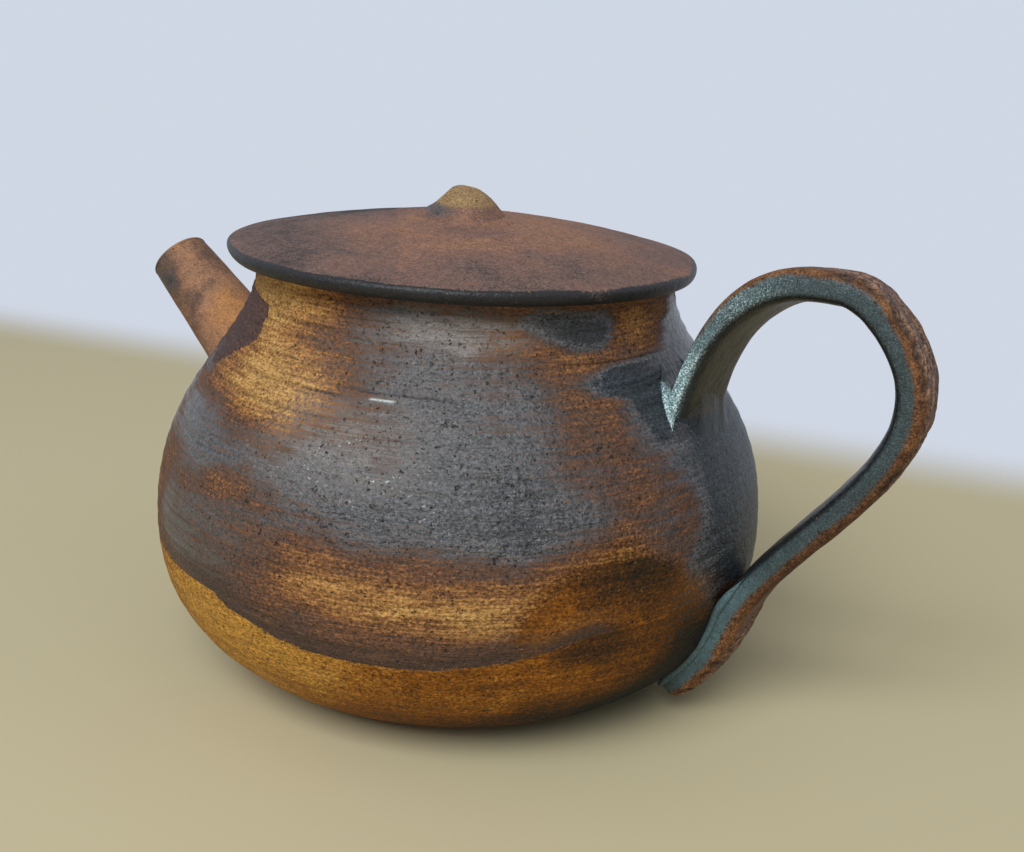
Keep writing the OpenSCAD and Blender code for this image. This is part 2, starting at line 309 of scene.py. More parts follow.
def srgb(r, g, b):
    """A colour as it is seen, 0 to 255, turned into the linear values that a shader takes."""
    parts = [v / 255 for v in (r, g, b)]
    return tuple(v / 12.92 if v <= 0.04045 else ((v + 0.055) / 1.055) ** 2.4 for v in parts) + (1.0,)


# Radius of a speck and of its full core, as shares of a cell, and how far the cells' edges wander
SPECK_R, SPECK_CORE, SPECK_WANDER = 0.36, 0.036, 1.6


class Tree:
    """The nodes of a material or of the world, and short names for them."""

    def __init__(self, owner):
        owner.use_nodes = True
        self.owner = owner
        self.nodes, self.links = owner.node_tree.nodes, owner.node_tree.links
        self.nodes.clear()

    @cached_property
    def place(self):
        return self.add("ShaderNodeTexCoord").outputs["Object"]

    def add(self, kind, inputs=None, **settings):
        node = self.nodes.new(kind)
        for key, value in settings.items():
            setattr(node, key, value)
        for key, value in (inputs or {}).items():
            self.put(node.inputs[key], value)
        return node

    def put(self, socket, value):
        if isinstance(value, bpy.types.NodeSocket):
            self.links.new(value, socket)
        else:
            socket.default_value = value

    def finish(self, shader, kind="ShaderNodeOutputMaterial"):
        self.add(kind, {0: shader.outputs[0]})
        return self.owner

    def math(self, operation, a, b=0.0, clamp=False):
        return self.add("ShaderNodeMath", {0: a, 1: b}, operation=operation, use_clamp=clamp).outputs[0]

    def times(self, value, *others):
        for other in others:
            value = self.math("MULTIPLY", value, other)
        return value

    def most(self, a, b):
        return self.math("MAXIMUM", a, b)

    def rest(self, share):
        """What a share leaves of 1."""
        return self.math("SUBTRACT", 1.0, share)

    def vector(self, operation, a, b=(0, 0, 0)):
        return self.add("ShaderNodeVectorMath", {0: a, 1: b}, operation=operation).outputs["Vector"]

    def scaled(self, a, amount):
        return self.add("ShaderNodeVectorMath", {0: a, "Scale": amount}, operation="SCALE").outputs["Vector"]

    def length(self, a):
        return self.add("ShaderNodeVectorMath", {0: a}, operation="LENGTH").outputs["Value"]

    def dot(self, a, b):
        return self.add("ShaderNodeVectorMath", {0: a, 1: b}, operation="DOT_PRODUCT").outputs["Value"]

    def parts(self, vector):
        return self.add("ShaderNodeSeparateXYZ", {0: vector}).outputs

    def join(self, x, y, z):
        return self.add("ShaderNodeCombineXYZ", {0: x, 1: y, 2: z}).outputs[0]

    def mix(self, share, a, b):
        return self.add("ShaderNodeMix", {0: share, 6: a, 7: b}, data_type="RGBA").outputs[2]

    def paint(self, colour, over, *shares):
        """Lays one colour over another, as strongly as the product of the shares."""
        return self.mix(self.times(*shares), colour, over)

    def blend(self, share, a, b):
        return self.add("ShaderNodeMix", {0: share, 2: a, 3: b}, data_type="FLOAT").outputs[0]

    def remap(self, value, lo, hi, to_lo=0.0, to_hi=1.0):
        inputs = {"Value": value, "From Min": lo, "From Max": hi, "To Min": to_lo, "To Max": to_hi}
        return self.add("ShaderNodeMapRange", inputs, interpolation_type="SMOOTHSTEP").outputs["Result"]

    def noise(self, vector, scale, detail=3.0, roughness=0.55, colour=False):
        inputs = {"Vector": vector, "Scale": scale, "Detail": detail, "Roughness": roughness}
        return self.add("ShaderNodeTexNoise", inputs).outputs[1 if colour else 0]

    def stretched(self, scales, detail, roughness):
        """Noise with its own scale in X, Y and Z."""
        return self.noise(self.vector("MULTIPLY", self.place, scales), 1, detail, roughness)

    def named(self, key):
        """What a mesh carries at its points, as outputs for a number and for a vector."""
        return self.add("ShaderNodeAttribute", attribute_name=key).outputs

    def amount(self, key):
        return self.named(key)["Fac"]

    def ramp(self, value, stops):
        """A colour from a list of (position, colour)."""
        node = self.add("ShaderNodeValToRGB", {0: value})
        spots = node.color_ramp.elements
        while len(spots) < len(stops):
            spots.new(1.0)
        for spot, (position, colour) in zip(spots, stops):
            spot.position, spot.color = position, colour
        return node.outputs[0]

    def stir(self, value, *noises):
        """Adds noises to a value, each as (noise, amount). A noise of 0.5 changes nothing."""
        for wave, amount in noises:
            value = self.math("ADD", value, self.times(self.math("SUBTRACT", wave, 0.5), amount))
        return value

    def specks(self, scale, shares, seed=0.0):
        """Scattered uneven dots: for each share, a pattern with dots in that share of the cells."""
        drift = self.noise(self.place, scale * 1.5, 1.0, 0.5, colour=True)
        drift = self.scaled(self.vector("SUBTRACT", drift, (0.5, 0.5, 0.5)), SPECK_WANDER / scale)
        place = self.vector("ADD", self.vector("ADD", self.place, (seed, seed, -seed)), drift)
        cells = self.add("ShaderNodeTexVoronoi", {"Vector": place, "Scale": scale}).outputs
        dot, draw = self.remap(cells["Distance"], SPECK_R, SPECK_CORE), self.parts(cells["Color"])
        return [self.times(self.math("LESS_THAN", draw[k], share), dot) for k, share in enumerate(shares)]


# Colours of the fired clay, by name
GOLD, STRAW, ORANGE = srgb(178, 138, 82), srgb(160, 116, 66), srgb(132, 90, 54)
RUST, MAUVE, CHAR = srgb(104, 72, 52), srgb(86, 67, 58), srgb(73, 74, 77)
BLUE_BLACK, BLACK = srgb(34, 35, 38), srgb(18, 16, 15)
HONEY, AMBER, TOBACCO, OLIVE = srgb(178, 130, 56), srgb(134, 80, 18), srgb(88, 52, 14), srgb(34, 26, 12)
PALE, FLECK = srgb(206, 214, 214), srgb(206, 160, 104)
# The pale ash grey below is partly a painted sheen
ASH_SHEEN_GREY, BAND_BROWN = srgb(146, 138, 132), srgb(56, 38, 30)
KNOB_GREY, BORE_BROWN = srgb(84, 85, 90), srgb(60, 44, 36)
SLATE, TEAL, SMEAR = srgb(44, 57, 61), srgb(86, 114, 120), srgb(34, 40, 44)
# The painted sheen on the strap's side, and the painted highlight of its sparkle
SIDE_SHEEN, SPARKLE_HIGHLIGHT = srgb(132, 162, 167), srgb(214, 238, 240)
# The painted highlight and the painted shade of the leaf veins
VEIN_HIGHLIGHT, VEIN_SHADE = srgb(156, 124, 106), srgb(44, 38, 37)
# Painted shade in the dents, and a painted highlight on the lips beside them
DENT_SHADE, LIP_HIGHLIGHT = srgb(40, 38, 38), srgb(158, 122, 98)

# Colours in order from clean clay to smoked clay, each with its place
FLASHED = [
    (0.0, GOLD), (0.15, STRAW), (0.30, ORANGE), (0.44, RUST), (0.60, MAUVE), (0.78, CHAR), (1.0, BLUE_BLACK)]
BARE = [(0.0, HONEY), (0.32, AMBER), (0.58, TOBACCO), (0.85, OLIVE), (1.0, BLACK)]
WIPED = [(0.0, srgb(74, 87, 95)), (0.5, srgb(43, 50, 56)), (1.0, srgb(22, 25, 28))]
VIOLET = [(0.0, srgb(92, 68, 64)), (1.0, srgb(40, 34, 36))]
PLAIN = [(0.0, srgb(160, 116, 74)), (1.0, srgb(96, 66, 46))]
LID_TONES = [
    (0.0, srgb(152, 110, 82)), (0.34, srgb(130, 97, 82)), (0.6, srgb(108, 86, 79)), (0.8, srgb(70, 61, 58)),
    (1.0, srgb(30, 29, 30))]
SPOUT_TONES = [
    (0.0, srgb(172, 122, 78)), (0.4, srgb(148, 110, 86)), (0.66, srgb(104, 80, 67)), (0.86, srgb(66, 62, 60)),
    (1.0, srgb(36, 32, 30))]
KNOB_TONES = [
    (0.0, srgb(166, 138, 100)), (0.4, srgb(144, 116, 82)), (0.75, srgb(108, 86, 62)), (1.0, srgb(60, 52, 44))]
INNER_TONES = [(0.0, srgb(66, 60, 48)), (1.0, srgb(32, 31, 27))]
SIDE_TONES = [(0.0, srgb(24, 29, 31)), (0.45, SLATE), (1.0, TEAL)]
WARM_TONES = [(0.0, srgb(144, 99, 60)), (0.5, srgb(98, 66, 43)), (1.0, srgb(44, 32, 25))]
BACK_TONES = [(0.0, srgb(134, 104, 90)), (0.5, srgb(98, 78, 71)), (1.0, srgb(52, 46, 44))]
# How strongly the painted sheen and the painted sparkle show on the strap's side along its length
SHEEN_ALONG = [
    (0.0, 1.0), (0.10, 0.95), (0.145, 0.22), (0.17, 0.20), (0.20, 0.42), (0.25, 0.22), (0.29, 0.06),
    (1.0, 0.04)]
# Leaf veins along the whole strap, counted in pairs of a line of painted highlight and a line of painted
# shade
VEINS = 72

DRY_ROUGH, SMOKED_ROUGH, SPECULAR, COAT, COAT_ROUGH = 0.74, 0.46, 0.2, 0.8, 0.28


def finish_clay(tree, colour, gloss, grain, lines, relief=1.0, pitted=1.0, contrast=1.0):
    """The fired surface that all pieces share: grain, grit, pits, fine lines and an uneven sheen.

    gloss is 0 for dry clay and 1 for the smoked, slightly vitrified skin. Dark grains lie lower than
    pale ones. relief is the height of the surface's roughness in millimetres.
    """
    mottle = tree.noise(tree.place, 400, 3, 0.6)
    pit, grit = tree.specks(640, (0.06 * pitted, 0.20 * pitted), 3.0)
    prick, fleck = tree.specks(1200, (0.18 * pitted, 0.06 * pitted), 7.0)
    pit = tree.most(pit, prick)
    shade = tree.stir(1.0, (grain, -3.0 * contrast), (lines, -1.1 * contrast), (mottle, 0.5 * contrast))
    colour = tree.scaled(colour, tree.most(shade, 0.15))
    colour = tree.paint(colour, FLECK, fleck, 0.35)
    colour = tree.paint(colour, BLACK, pit, 0.85)
    height = tree.stir(0.0, (grain, -0.18), (lines, -0.08), (mottle, 0.42))
    height = tree.math("ADD", height, tree.times(grit, 0.16))
    height = tree.math("SUBTRACT", height, tree.times(pit, 0.25))
    bump = tree.add("ShaderNodeBump", {"Strength": 1.0, "Distance": MM * relief, "Height": height})
    return tree.finish(tree.add("ShaderNodeBsdfPrincipled", {
        "Base Color": colour,
        "Roughness": tree.stir(tree.blend(gloss, DRY_ROUGH, SMOKED_ROUGH), (mottle, 0.2)),
        "Specular IOR Level": SPECULAR,
        "Coat Weight": tree.math("MULTIPLY", gloss, COAT, clamp=True),
        "Coat Roughness": COAT_ROUGH,
        "Normal": bump.outputs[0],
        "Coat Normal": bump.outputs[0]}))


# The slip's lower edge on the pot is a level line of a tilted dip: its height at the axis, its slope in
# X and Y, and the height above which it never runs
DIP_Z, DIP_SLOPE, DIP_TOP = 74.4, (-0.222, 0.576), 36.0


def pot_material():
    tree = Tree(bpy.data.materials.new("flashed_clay"))
    place = tree.place
    streak = tree.stretched((34, 34, 820), 4, 0.66)
    lines = tree.stretched((100, 100, 1800), 3, 0.65)
    blotch = tree.noise(place, 90, 4, 0.6)
    grain = tree.stretched((1300, 1300, 1900), 3, 0.75)
    level = tree.stir(tree.amount("smoke"), (streak, 0.48), (blotch, 0.40), (grain, 0.6), (lines, 0.5))
    colour = tree.ramp(level, FLASHED)

    # A pale bloom of ash over the smoked clay, which is partly a painted sheen
    sheen_bloom = tree.remap(tree.stir(0.5, (blotch, 0.3), (lines, 1.0), (grain, 1.2)), 0.3, 0.7)
    colour = tree.paint(colour, ASH_SHEEN_GREY, tree.amount("ash_sheen"), sheen_bloom)

    # The clean base below the slip, and the amber flush above it on the right
    line = tree.math("ADD", tree.dot(place, (*DIP_SLOPE, 0.0)), DIP_Z * MM)
    above = tree.math("SUBTRACT", tree.parts(place)[2], tree.math("MINIMUM", line, DIP_TOP * MM))
    base = tree.remap(tree.stir(above, (streak, 2.2 * MM), (grain, 1.2 * MM)), 0.4 * MM, -0.4 * MM)
    stain = tree.stir(tree.amount("stain"), (streak, 0.5), (blotch, 0.6), (grain, 0.55))
    flush = tree.remap(tree.stir(tree.amount("amber"), (streak, 0.6), (grain, 0.5)), 0.3, 0.7)
    colour = tree.mix(tree.most(base, flush), colour, tree.ramp(stain, BARE))

    # The smoky band that fades upward from the slip's edge
    thick = tree.stir(above, (streak, 15 * MM), (grain, 5 * MM))
    band = tree.times(tree.remap(thick, 9 * MM, 0.5 * MM), tree.rest(base), tree.amount("band"))
    colour = tree.paint(colour, BAND_BROWN, band, 0.92)

    # The sharp-edged shadow of the spout
    slip = tree.stir(tree.amount("slip"), (grain, 1.0), (blotch, 0.8))
    violet = tree.ramp(tree.stir(0.45, (blotch, 0.7), (grain, 0.7)), VIOLET)
    colour = tree.paint(colour, violet, tree.remap(slip, -0.2, 0.2), 0.94)

    # Throwing grooves are darkened by their depth, and the inside and the underside are plain fired clay
    colour = tree.paint(colour, BLACK, tree.amount("groove"), 0.4)
    hidden = tree.amount("hidden")
    colour = tree.mix(hidden, colour, tree.ramp(tree.stir(0.3, (blotch, 0.5), (grain, 0.4)), PLAIN))

    # Slate clay wiped onto the wall at the handle's root, and a broad dark slate patch under the handle
    wiped = tree.stir(tree.amount("wiped"), (streak, 0.4), (blotch, 0.4), (grain, 0.3))
    wiped = tree.remap(wiped, 0.3, 0.75)
    wipe = tree.ramp(tree.stir(0.5, (streak, 0.8), (blotch, 0.6), (grain, 0.4)), WIPED)
    colour = tree.paint(colour, wipe, wiped, 0.9)

    # Smoked clay shines, and shows its grain more crisply
    smoked = tree.blend(hidden, tree.blend(wiped, tree.remap(level, 0.5, 0.8), 0.45), 0.0)
    crisp = tree.most(tree.stir(1.0, (grain, -3.0), (lines, -1.2)), 0.25)
    colour = tree.mix(smoked, colour, tree.scaled(colour, crisp))
    gloss = tree.most(smoked, tree.times(band, 0.6))

    # Painted glints: bright specks of painted highlight. And one pale scratch
    painted_glint = tree.specks(1000, (0.4,), 5.0)[0]
    painted_glint = tree.times(painted_glint, tree.remap(tree.noise(place, 130, 2), 0.48, 0.60), tree.amount("painted_glint"))
    colour = tree.paint(colour, PALE, painted_glint, 0.9)
    colour = tree.paint(colour, PALE, tree.amount("scratch"), 0.9)
    return finish_clay(tree, colour, gloss, grain, lines, 1.8)


def lid_material():
    tree = Tree(bpy.data.materials.new("lid_clay"))
    place = tree.place
    x, y, _ = tree.parts(place)
    radius = tree.length(tree.join(x, y, 0.0))
    ring = tree.join(tree.times(x, 35), tree.times(y, 35), tree.times(radius, 900))
    streak = tree.noise(ring, 1, 4, 0.62)
    blotch = tree.noise(place, 90, 4, 0.6)
    grain = tree.noise(place, 2300, 2, 0.6)
    fine = tree.noise(place, 620, 3, 0.6)
    level = tree.stir(tree.amount("smoke"), (streak, 0.25), (blotch, 0.6), (fine, 0.25), (grain, 0.45))
    soot = tree.stir(tree.amount("edge"), (blotch, 0.9), (streak, 0.5), (grain, 0.4))
    soot = tree.remap(soot, 0.45, 0.85)
    level = tree.math("ADD", level, tree.times(soot, 0.6))
    colour = tree.mix(tree.amount("hidden"), tree.ramp(level, LID_TONES), tree.ramp(level, PLAIN))
    return finish_clay(tree, colour, tree.times(soot, 0.4), grain, fine, 0.8, 0.5, 0.65)


def knob_material():
    tree = Tree(bpy.data.materials.new("knob_clay"))
    place = tree.place
    blotch = tree.noise(place, 160, 4, 0.6)
    grain = tree.noise(place, 2300, 2, 0.6)
    left = tree.remap(tree.dot(place, (-TILT_ALONG[0], -TILT_ALONG[1], 0.0)), 1.0 * MM, 7.0 * MM)
    low = tree.stir(tree.parts(place)[2], (blotch, 2.4 * MM), (grain, 0.8 * MM))
    colour = tree.ramp(tree.stir(0.3, (blotch, 0.7), (grain, 0.5)), KNOB_TONES)
    lid = tree.ramp(tree.stir(0.38, (blotch, 0.6), (grain, 0.45)), LID_TONES)
    colour = tree.mix(tree.remap(low, (lid_top + 3.9) * MM, (lid_top + 2.6) * MM), colour, lid)
    foot = tree.remap(low, (lid_top + 4.0) * MM, (lid_top + 3.2) * MM)
    foot = tree.times(foot, tree.remap(low, (lid_top + 1.2) * MM, (lid_top + 2.2) * MM))
    colour = tree.paint(colour, KNOB_GREY, foot, left, 0.75)
    return finish_clay(tree, colour, 0.0, grain, blotch, 0.6, 1.0, 0.6)


def spout_material():
    tree = Tree(bpy.data.materials.new("spout_clay"))
    place = tree.place
    blotch = tree.noise(place, 95, 4, 0.6)
    fine = tree.noise(place, 500, 3, 0.6)
    grain = tree.noise(place, 2300, 2, 0.6)
    level = tree.stir(tree.amount("smoke"), (blotch, 0.6), (fine, 0.3), (grain, 0.3))
    colour = tree.mix(tree.amount("hidden"), tree.ramp(level, SPOUT_TONES), BORE_BROWN)
    return finish_clay(tree, colour, tree.remap(level, 0.6, 0.9, 0.0, 0.6), grain, fine, 0.5, 0.5, 0.5)


def slate_material():
    tree = Tree(bpy.data.materials.new("slate_clay"))
    place = tree.place
    blotch = tree.noise(place, 90, 4, 0.6)
    fine = tree.noise(place, 420, 4, 0.65)
    grain = tree.noise(place, 2300, 2, 0.65)
    along, across, up = tree.parts(tree.named("strap")["Vector"])
    aside = tree.math("ABSOLUTE", across)
    # -1 at the edge along the finger gap and 1 at the outer edge: the side lies between them
    face = tree.math("DIVIDE", up, tree.most(aside, 0.05))

    # The dull inner face, and the cool side, which is paler at the strap's two ends
    inner = tree.ramp(tree.stir(0.5, (blotch, 0.8), (grain, 0.4)), INNER_TONES)
    ends = tree.most(tree.remap(along, 0.26, 0.08), tree.remap(along, 0.66, 0.84))
    cool = tree.stir(tree.blend(ends, 0.35, 0.75), (blotch, 0.9), (fine, 0.6), (grain, 0.9))
    # A painted sheen lies over the side, strongest at the root
    sheen_share = tree.ramp(tree.stir(along, (blotch, 0.05)), [(at, (v, v, v, 1.0)) for at, v in SHEEN_ALONG])
    side = tree.paint(tree.ramp(cool, SIDE_TONES), SIDE_SHEEN, sheen_share, 0.45)
    colour = tree.mix(tree.remap(face, -1.30, -1.05), inner, side)

    # Warm clay along the outer edge. It starts above the root, and is narrower over the arch
    start = tree.remap(tree.stir(along, (blotch, 0.10)), 0.10, 0.22)
    arch = tree.times(tree.remap(along, 0.16, 0.28), tree.remap(along, 0.44, 0.34))
    outward = tree.math("SUBTRACT", face, tree.times(arch, 0.3))
    shown = tree.remap(tree.stir(outward, (blotch, 0.9), (fine, 0.4), (grain, 0.5)), 0.10, 0.42)
    shown = tree.times(shown, start)
    # Down the fall toward the tail the warm clay is darker: painted shade
    under = tree.times(tree.remap(along, 0.48, 0.62), tree.remap(along, 0.86, 0.78))
    warm = tree.stir(tree.blend(under, 0.42, 0.66), (blotch, 0.7), (fine, 0.6), (grain, 0.7))
    colour = tree.mix(shown, colour, tree.ramp(warm, WARM_TONES))

    # The back, and the dark line along the edge of the finger gap
    back = tree.times(tree.remap(tree.stir(face, (blotch, 0.6), (grain, 0.4)), 1.15, 1.6), start)
    tone = tree.stir(0.45, (blotch, 0.8), (fine, 0.5), (grain, 0.6))
    colour = tree.mix(back, colour, tree.ramp(tone, BACK_TONES))
    edge = tree.remap(tree.stir(face, (fine, 0.3)), -0.45, -0.75)
    colour = tree.paint(colour, BLACK, tree.remap(face, -1.8, -1.3), edge, 0.9)

    # Leaf veins pressed into the back: fine lines that slant away from its middle, each drawn as a painted
    # highlight beside a painted shade
    vein = tree.math("ADD", tree.times(along, VEINS), tree.times(aside, 3.0))
    vein = tree.math("PINGPONG", tree.stir(vein, (blotch, 5.0), (fine, 1.6)), 0.5)
    leaf = tree.times(tree.remap(along, 0.31, 0.34), tree.remap(along, 0.62, 0.54))
    leaf = tree.most(leaf, tree.remap(along, 0.84, 0.87))
    leaf = tree.times(leaf, tree.remap(tree.stir(face, (fine, 0.5)), 0.9, 1.2))
    leaf = tree.times(leaf, tree.remap(tree.noise(place, 150, 2), 0.40, 0.52))
    colour = tree.paint(colour, VEIN_HIGHLIGHT, leaf, tree.remap(vein, 0.24, 0.34, 0.0, 0.45))
    colour = tree.paint(colour, VEIN_SHADE, leaf, tree.remap(vein, 0.13, 0.05, 0.0, 0.85))

    # Clay smeared at the root, painted shade in the dents, and a painted highlight on the lips pushed up
    # beside them
    smear = tree.remap(tree.stir(tree.amount("smear"), (blotch, 0.7), (grain, 0.5)), 0.35, 0.75)
    colour = tree.mix(smear, colour, SMEAR)
    colour = tree.paint(colour, DENT_SHADE, tree.amount("groove"), 0.6)
    colour = tree.paint(colour, LIP_HIGHLIGHT, tree.amount("lip"), 0.5)

    # Painted sparkle on the side: bright specks of painted highlight
    gloss = tree.rest(tree.most(shown, tree.times(back, 0.6)))
    shine = tree.times(tree.remap(face, -1.0, -0.45), tree.remap(face, 0.75, 0.2))
    painted_sparkle = tree.remap(tree.noise(place, 2800, 2, 0.8), 0.48, 0.60)
    painted_sparkle = tree.times(painted_sparkle, tree.times(sheen_share, shine, gloss), tree.rest(smear))
    colour = tree.mix(painted_sparkle, colour, SPARKLE_HIGHLIGHT)
    return finish_clay(tree, colour, tree.times(gloss, 0.5), grain, fine, 0.8, 0.5, 1.0)


# Pot: a thrown wall with its turning rings and grooves, a rounded rim, a smooth inside and a flat foot

POT_COLUMNS = 432
# Spacing of the profile's points, outside, round the rim, inside, on the floor and under the foot
SKIN_STEP, RIM_STEP, INSIDE_STEP, FLOOR_STEP, UNDER_STEP = 0.3, 0.4, 1.2, 1.6, 1.0
# The pot stands on a ring, and its underside rises a little inside it: by how much, and how far in from
# the foot's edge the rise ends and starts
FOOT_RISE, FOOT_HOLLOW, FOOT_RING = 0.35, 9.0, 7.0
# Rings from throwing, and finer ones between them
RING_PITCH, RING_DEEP = 3.6, 0.10
FINE_PITCH, FINE_DEEP = 1.25, 0.05
# The lower belly is a little fuller: by how much, at what height and over what half height
LOW_FULL, LOW_FULL_Z, LOW_FULL_HALF = 0.9, 22.0, 13.0
# A groove of this depth is darkened the most
GROOVE_FULL = 0.22
# The rim stays this far below the lid, and the wall's mesh this far inside the solid on the whole
RIM_LOW, WALL_LOW = 0.12, 0.30

# Grooves in the wall: height, azimuth of the middle, half angle, depth and half width
GROOVES = [
    (91.2, -100, 14, 0.24, 0.24), (79.8, -96, 18, 0.20, 0.24), (76.0, -96, 18, 0.18, 0.24),
    (81.4, -70, 18, 0.20, 0.22), (87.0, -14, 26, 0.26, 0.24), (82.6, -22, 12, 0.20, 0.22),
    (68.0, -60, 36, 0.10, 0.24), (71.5, -28, 16, 0.12, 0.24), (94.0, 60, 60, 0.20, 0.24),
    (84.5, 120, 50, 0.22, 0.24), (77.0, 170, 40, 0.20, 0.24), (62.0, 90, 50, 0.14, 0.24),
]

# Flame marks on the wall: azimuth and height of the middle, half width and half height in millimetres,
# softness, and the smoke that the mark adds, which is less than 0 where the clay is flushed gold
SMOKE_START = 0.44
MARKS = [
    (-101, 80, 20, 10, 0.5, -0.36), (-84, 77, 16, 5, 0.6, -0.16), (-112, 95, 20, 6, 0.6, -0.46),
    (-98, 90.5, 9, 3, 0.7, 0.2), (-72, 93, 11, 4, 0.7, 0.14), (-112, 67, 18, 8, 0.5, 0.32),
    (-98, 60, 22, 4, 0.7, -0.08), (-113, 47, 26, 9, 0.6, 0.26), (-94, 50, 18, 5, 0.7, 0.08),
    (-61, 70, 36, 18, 0.5, 0.34), (-66, 88, 36, 9, 0.6, 0.08), (-48, 62, 24, 13, 0.6, 0.10),
    (-80, 62, 20, 7, 0.6, 0.12), (-66, 48, 50, 7, 0.5, -0.14), (-44, 44, 26, 8, 0.6, -0.08),
    (-62, 42, 34, 4, 0.6, -0.16), (-24, 66, 22, 14, 0.7, -0.03), (-37, 81, 12, 6, 0.7, -0.04),
    (-33, 92, 20, 5, 0.6, -0.04), (-14, 78, 8, 10, 0.6, 0.18), (-14, 60, 12, 24, 0.6, 0.16),
    (8, 56, 25, 32, 0.35, 0.55), (-30, 94.2, 8, 3.2, 0.6, 0.65), (-17, 84, 14, 2.6, 0.5, 0.5),
    (18, 80, 22, 16, 0.5, 0.4), (-60, 97, 40, 3, 0.6, 0.08), (-41, 60, 14, 6, 0.6, 0.14),
    (-28, 77, 7, 6, 0.7, 0.05), (-36, 67, 10, 16, 0.7, -0.12), (-16, 96.5, 9, 3.5, 0.6, -0.12),
    (-3, 92, 13, 5, 0.6, -0.18), (95, 60, 24, 8, 0.6, -0.26), (120, 74, 36, 17, 0.6, 0.38),
    (62, 68, 24, 18, 0.6, 0.34), (150, 86, 26, 7, 0.6, -0.30), (-166, 62, 28, 12, 0.6, 0.36),
    (-160, 86, 20, 6, 0.6, -0.22), (70, 46, 50, 8, 0.6, -0.20), (-150, 48, 26, 8, 0.6, -0.18),
    (140, 44, 42, 8, 0.6, -0.20), (180, 52, 28, 9, 0.6, 0.22), (-140, 68, 18, 9, 0.6, 0.20),
    (45, 88, 24, 7, 0.6, 0.2),
]
# Stain on the bare base, the amber flush above it, and the reach of the smoky band, in the same form
STAIN_START = 0.34
STAINS = [
    (-102, 26, 30, 14, 0.7, -0.34), (-34, 8, 30, 9, 0.6, 0.45), (-10, 18, 22, 18, 0.6, 0.5),
    (16, 16, 30, 18, 0.6, 0.5), (-26, 50, 20, 9, 0.6, 0.34), (-26, 42, 18, 8, 0.7, 0.08),
    (-34, 32, 8, 4, 0.6, 0.35), (-150, 10, 30, 9, 0.6, 0.3), (90, 12, 40, 9, 0.6, 0.3),
    (-70, 4, 60, 3, 0.6, 0.1),
]
FLUSH = [
    (-32, 40, 20, 15, 0.6, 0.8), (-20, 28, 26, 16, 0.6, 0.7), (-40, 34, 12, 6, 0.6, 0.4),
    (100, 34, 40, 10, 0.7, 0.6),
]
BAND = [
    (-76, 34, 50, 32, 0.3, 1.0), (-36, 33, 6, 4, 0.5, 0.8), (150, 38, 60, 12, 0.6, 0.7),
]
# Painted glints, which are bright specks of painted highlight, and the pale bloom of ash, which is partly a
# painted sheen, in the same form
PAINTED_GLINTS = [
    (-70, 68, 16, 9, 0.6, 1.0), (-52, 62, 12, 8, 0.6, 0.4), (-98, 66, 12, 4, 0.6, 0.5),
    (120, 70, 30, 12, 0.6, 0.7),
]
ASH_SHEEN_MARKS = [
    (-56, 93, 15, 4, 0.5, 1.0), (-70, 86, 26, 9, 0.6, 0.20), (-82, 71, 18, 8, 0.6, 0.70),
    (-64, 71, 18, 9, 0.6, 0.25), (130, 82, 40, 9, 0.6, 0.5), (-170, 68, 20, 7, 0.6, 0.4),
]
# Slate clay wiped onto the wall at the handle's root, in the same form. The last one darkens a broad patch of
# the wall under and beside the handle
WIPES = [
    (-18, 83.4, 9, 2.4, 0.6, 0.9), (-11, 80, 5, 4.5, 0.6, 0.9), (-13, 75, 3, 5, 0.6, 0.7),
    (10, 57, 24, 26, 0.18, 1.0),
]
# The pale scratch: azimuth, height, half angle, half width and slope
SCRATCH_AT, SCRATCH_Z, SCRATCH_HALF, SCRATCH_THIN, SCRATCH_FALL = -73.5, 80.2, 3.0, 0.16, 0.02
# The sharp shadow beside the spout: azimuth of its edge, heights, slant and width
SHADOW_SIDE, SHADOW_LOW, SHADOW_HIGH, SHADOW_SLANT, SHADOW_WIDE = -115.0, 85.0, 92.0, 0.62, 34.0


def pot_profile():
    """Profile from the foot's middle up the outside and down the inside, and a 1 where it is the outside."""
    rim_top = POT_H - RIM_LOW
    inner_r = rim_r - WALL
    outside = resample(np.vstack([
        wall_line,
        [[rim_r, rim_top - RIM_ROUND]],
        arc([rim_r - RIM_ROUND, rim_top - RIM_ROUND], RIM_ROUND, 0, 90)[1:]]), SKIN_STEP)
    rim = resample(np.vstack([
        [[rim_r - RIM_ROUND, rim_top]],
        arc([inner_r + RIM_ROUND, rim_top - RIM_ROUND], RIM_ROUND, 90, 180)]), RIM_STEP)
    inner = wall_line - WALL * profile_normals(wall_line)
    inner = inner[(inner[:, 1] > FLOOR_T) & (inner[:, 1] < neck_z)][::-1]
    floor_r = inner[-1, 0]
    inside = np.vstack([[[inner_r, rim_top - RIM_ROUND]], inner, [[floor_r, FLOOR_T]]])
    inside = resample(inside, INSIDE_STEP)
    floor = resample([[floor_r, FLOOR_T], [AXIS_R, FLOOR_T]], FLOOR_STEP)
    under = resample([
        [AXIS_R, FOOT_RISE], [FOOT_R - FOOT_HOLLOW, FOOT_RISE], [FOOT_R - FOOT_RING, 0.0], [FOOT_R, 0.0]],
        UNDER_STEP)
    line = np.vstack([under, outside[1:], rim[1:], inside[1:], floor[1:]])
    skin = np.zeros(len(line))
    skin[len(under):len(under) + len(outside) - 1] = 1
    return line, skin


# How far the outlines of marks wander across and up, in millimetres
DRIFT_ACROSS, DRIFT_UP = 5.0, 2.2


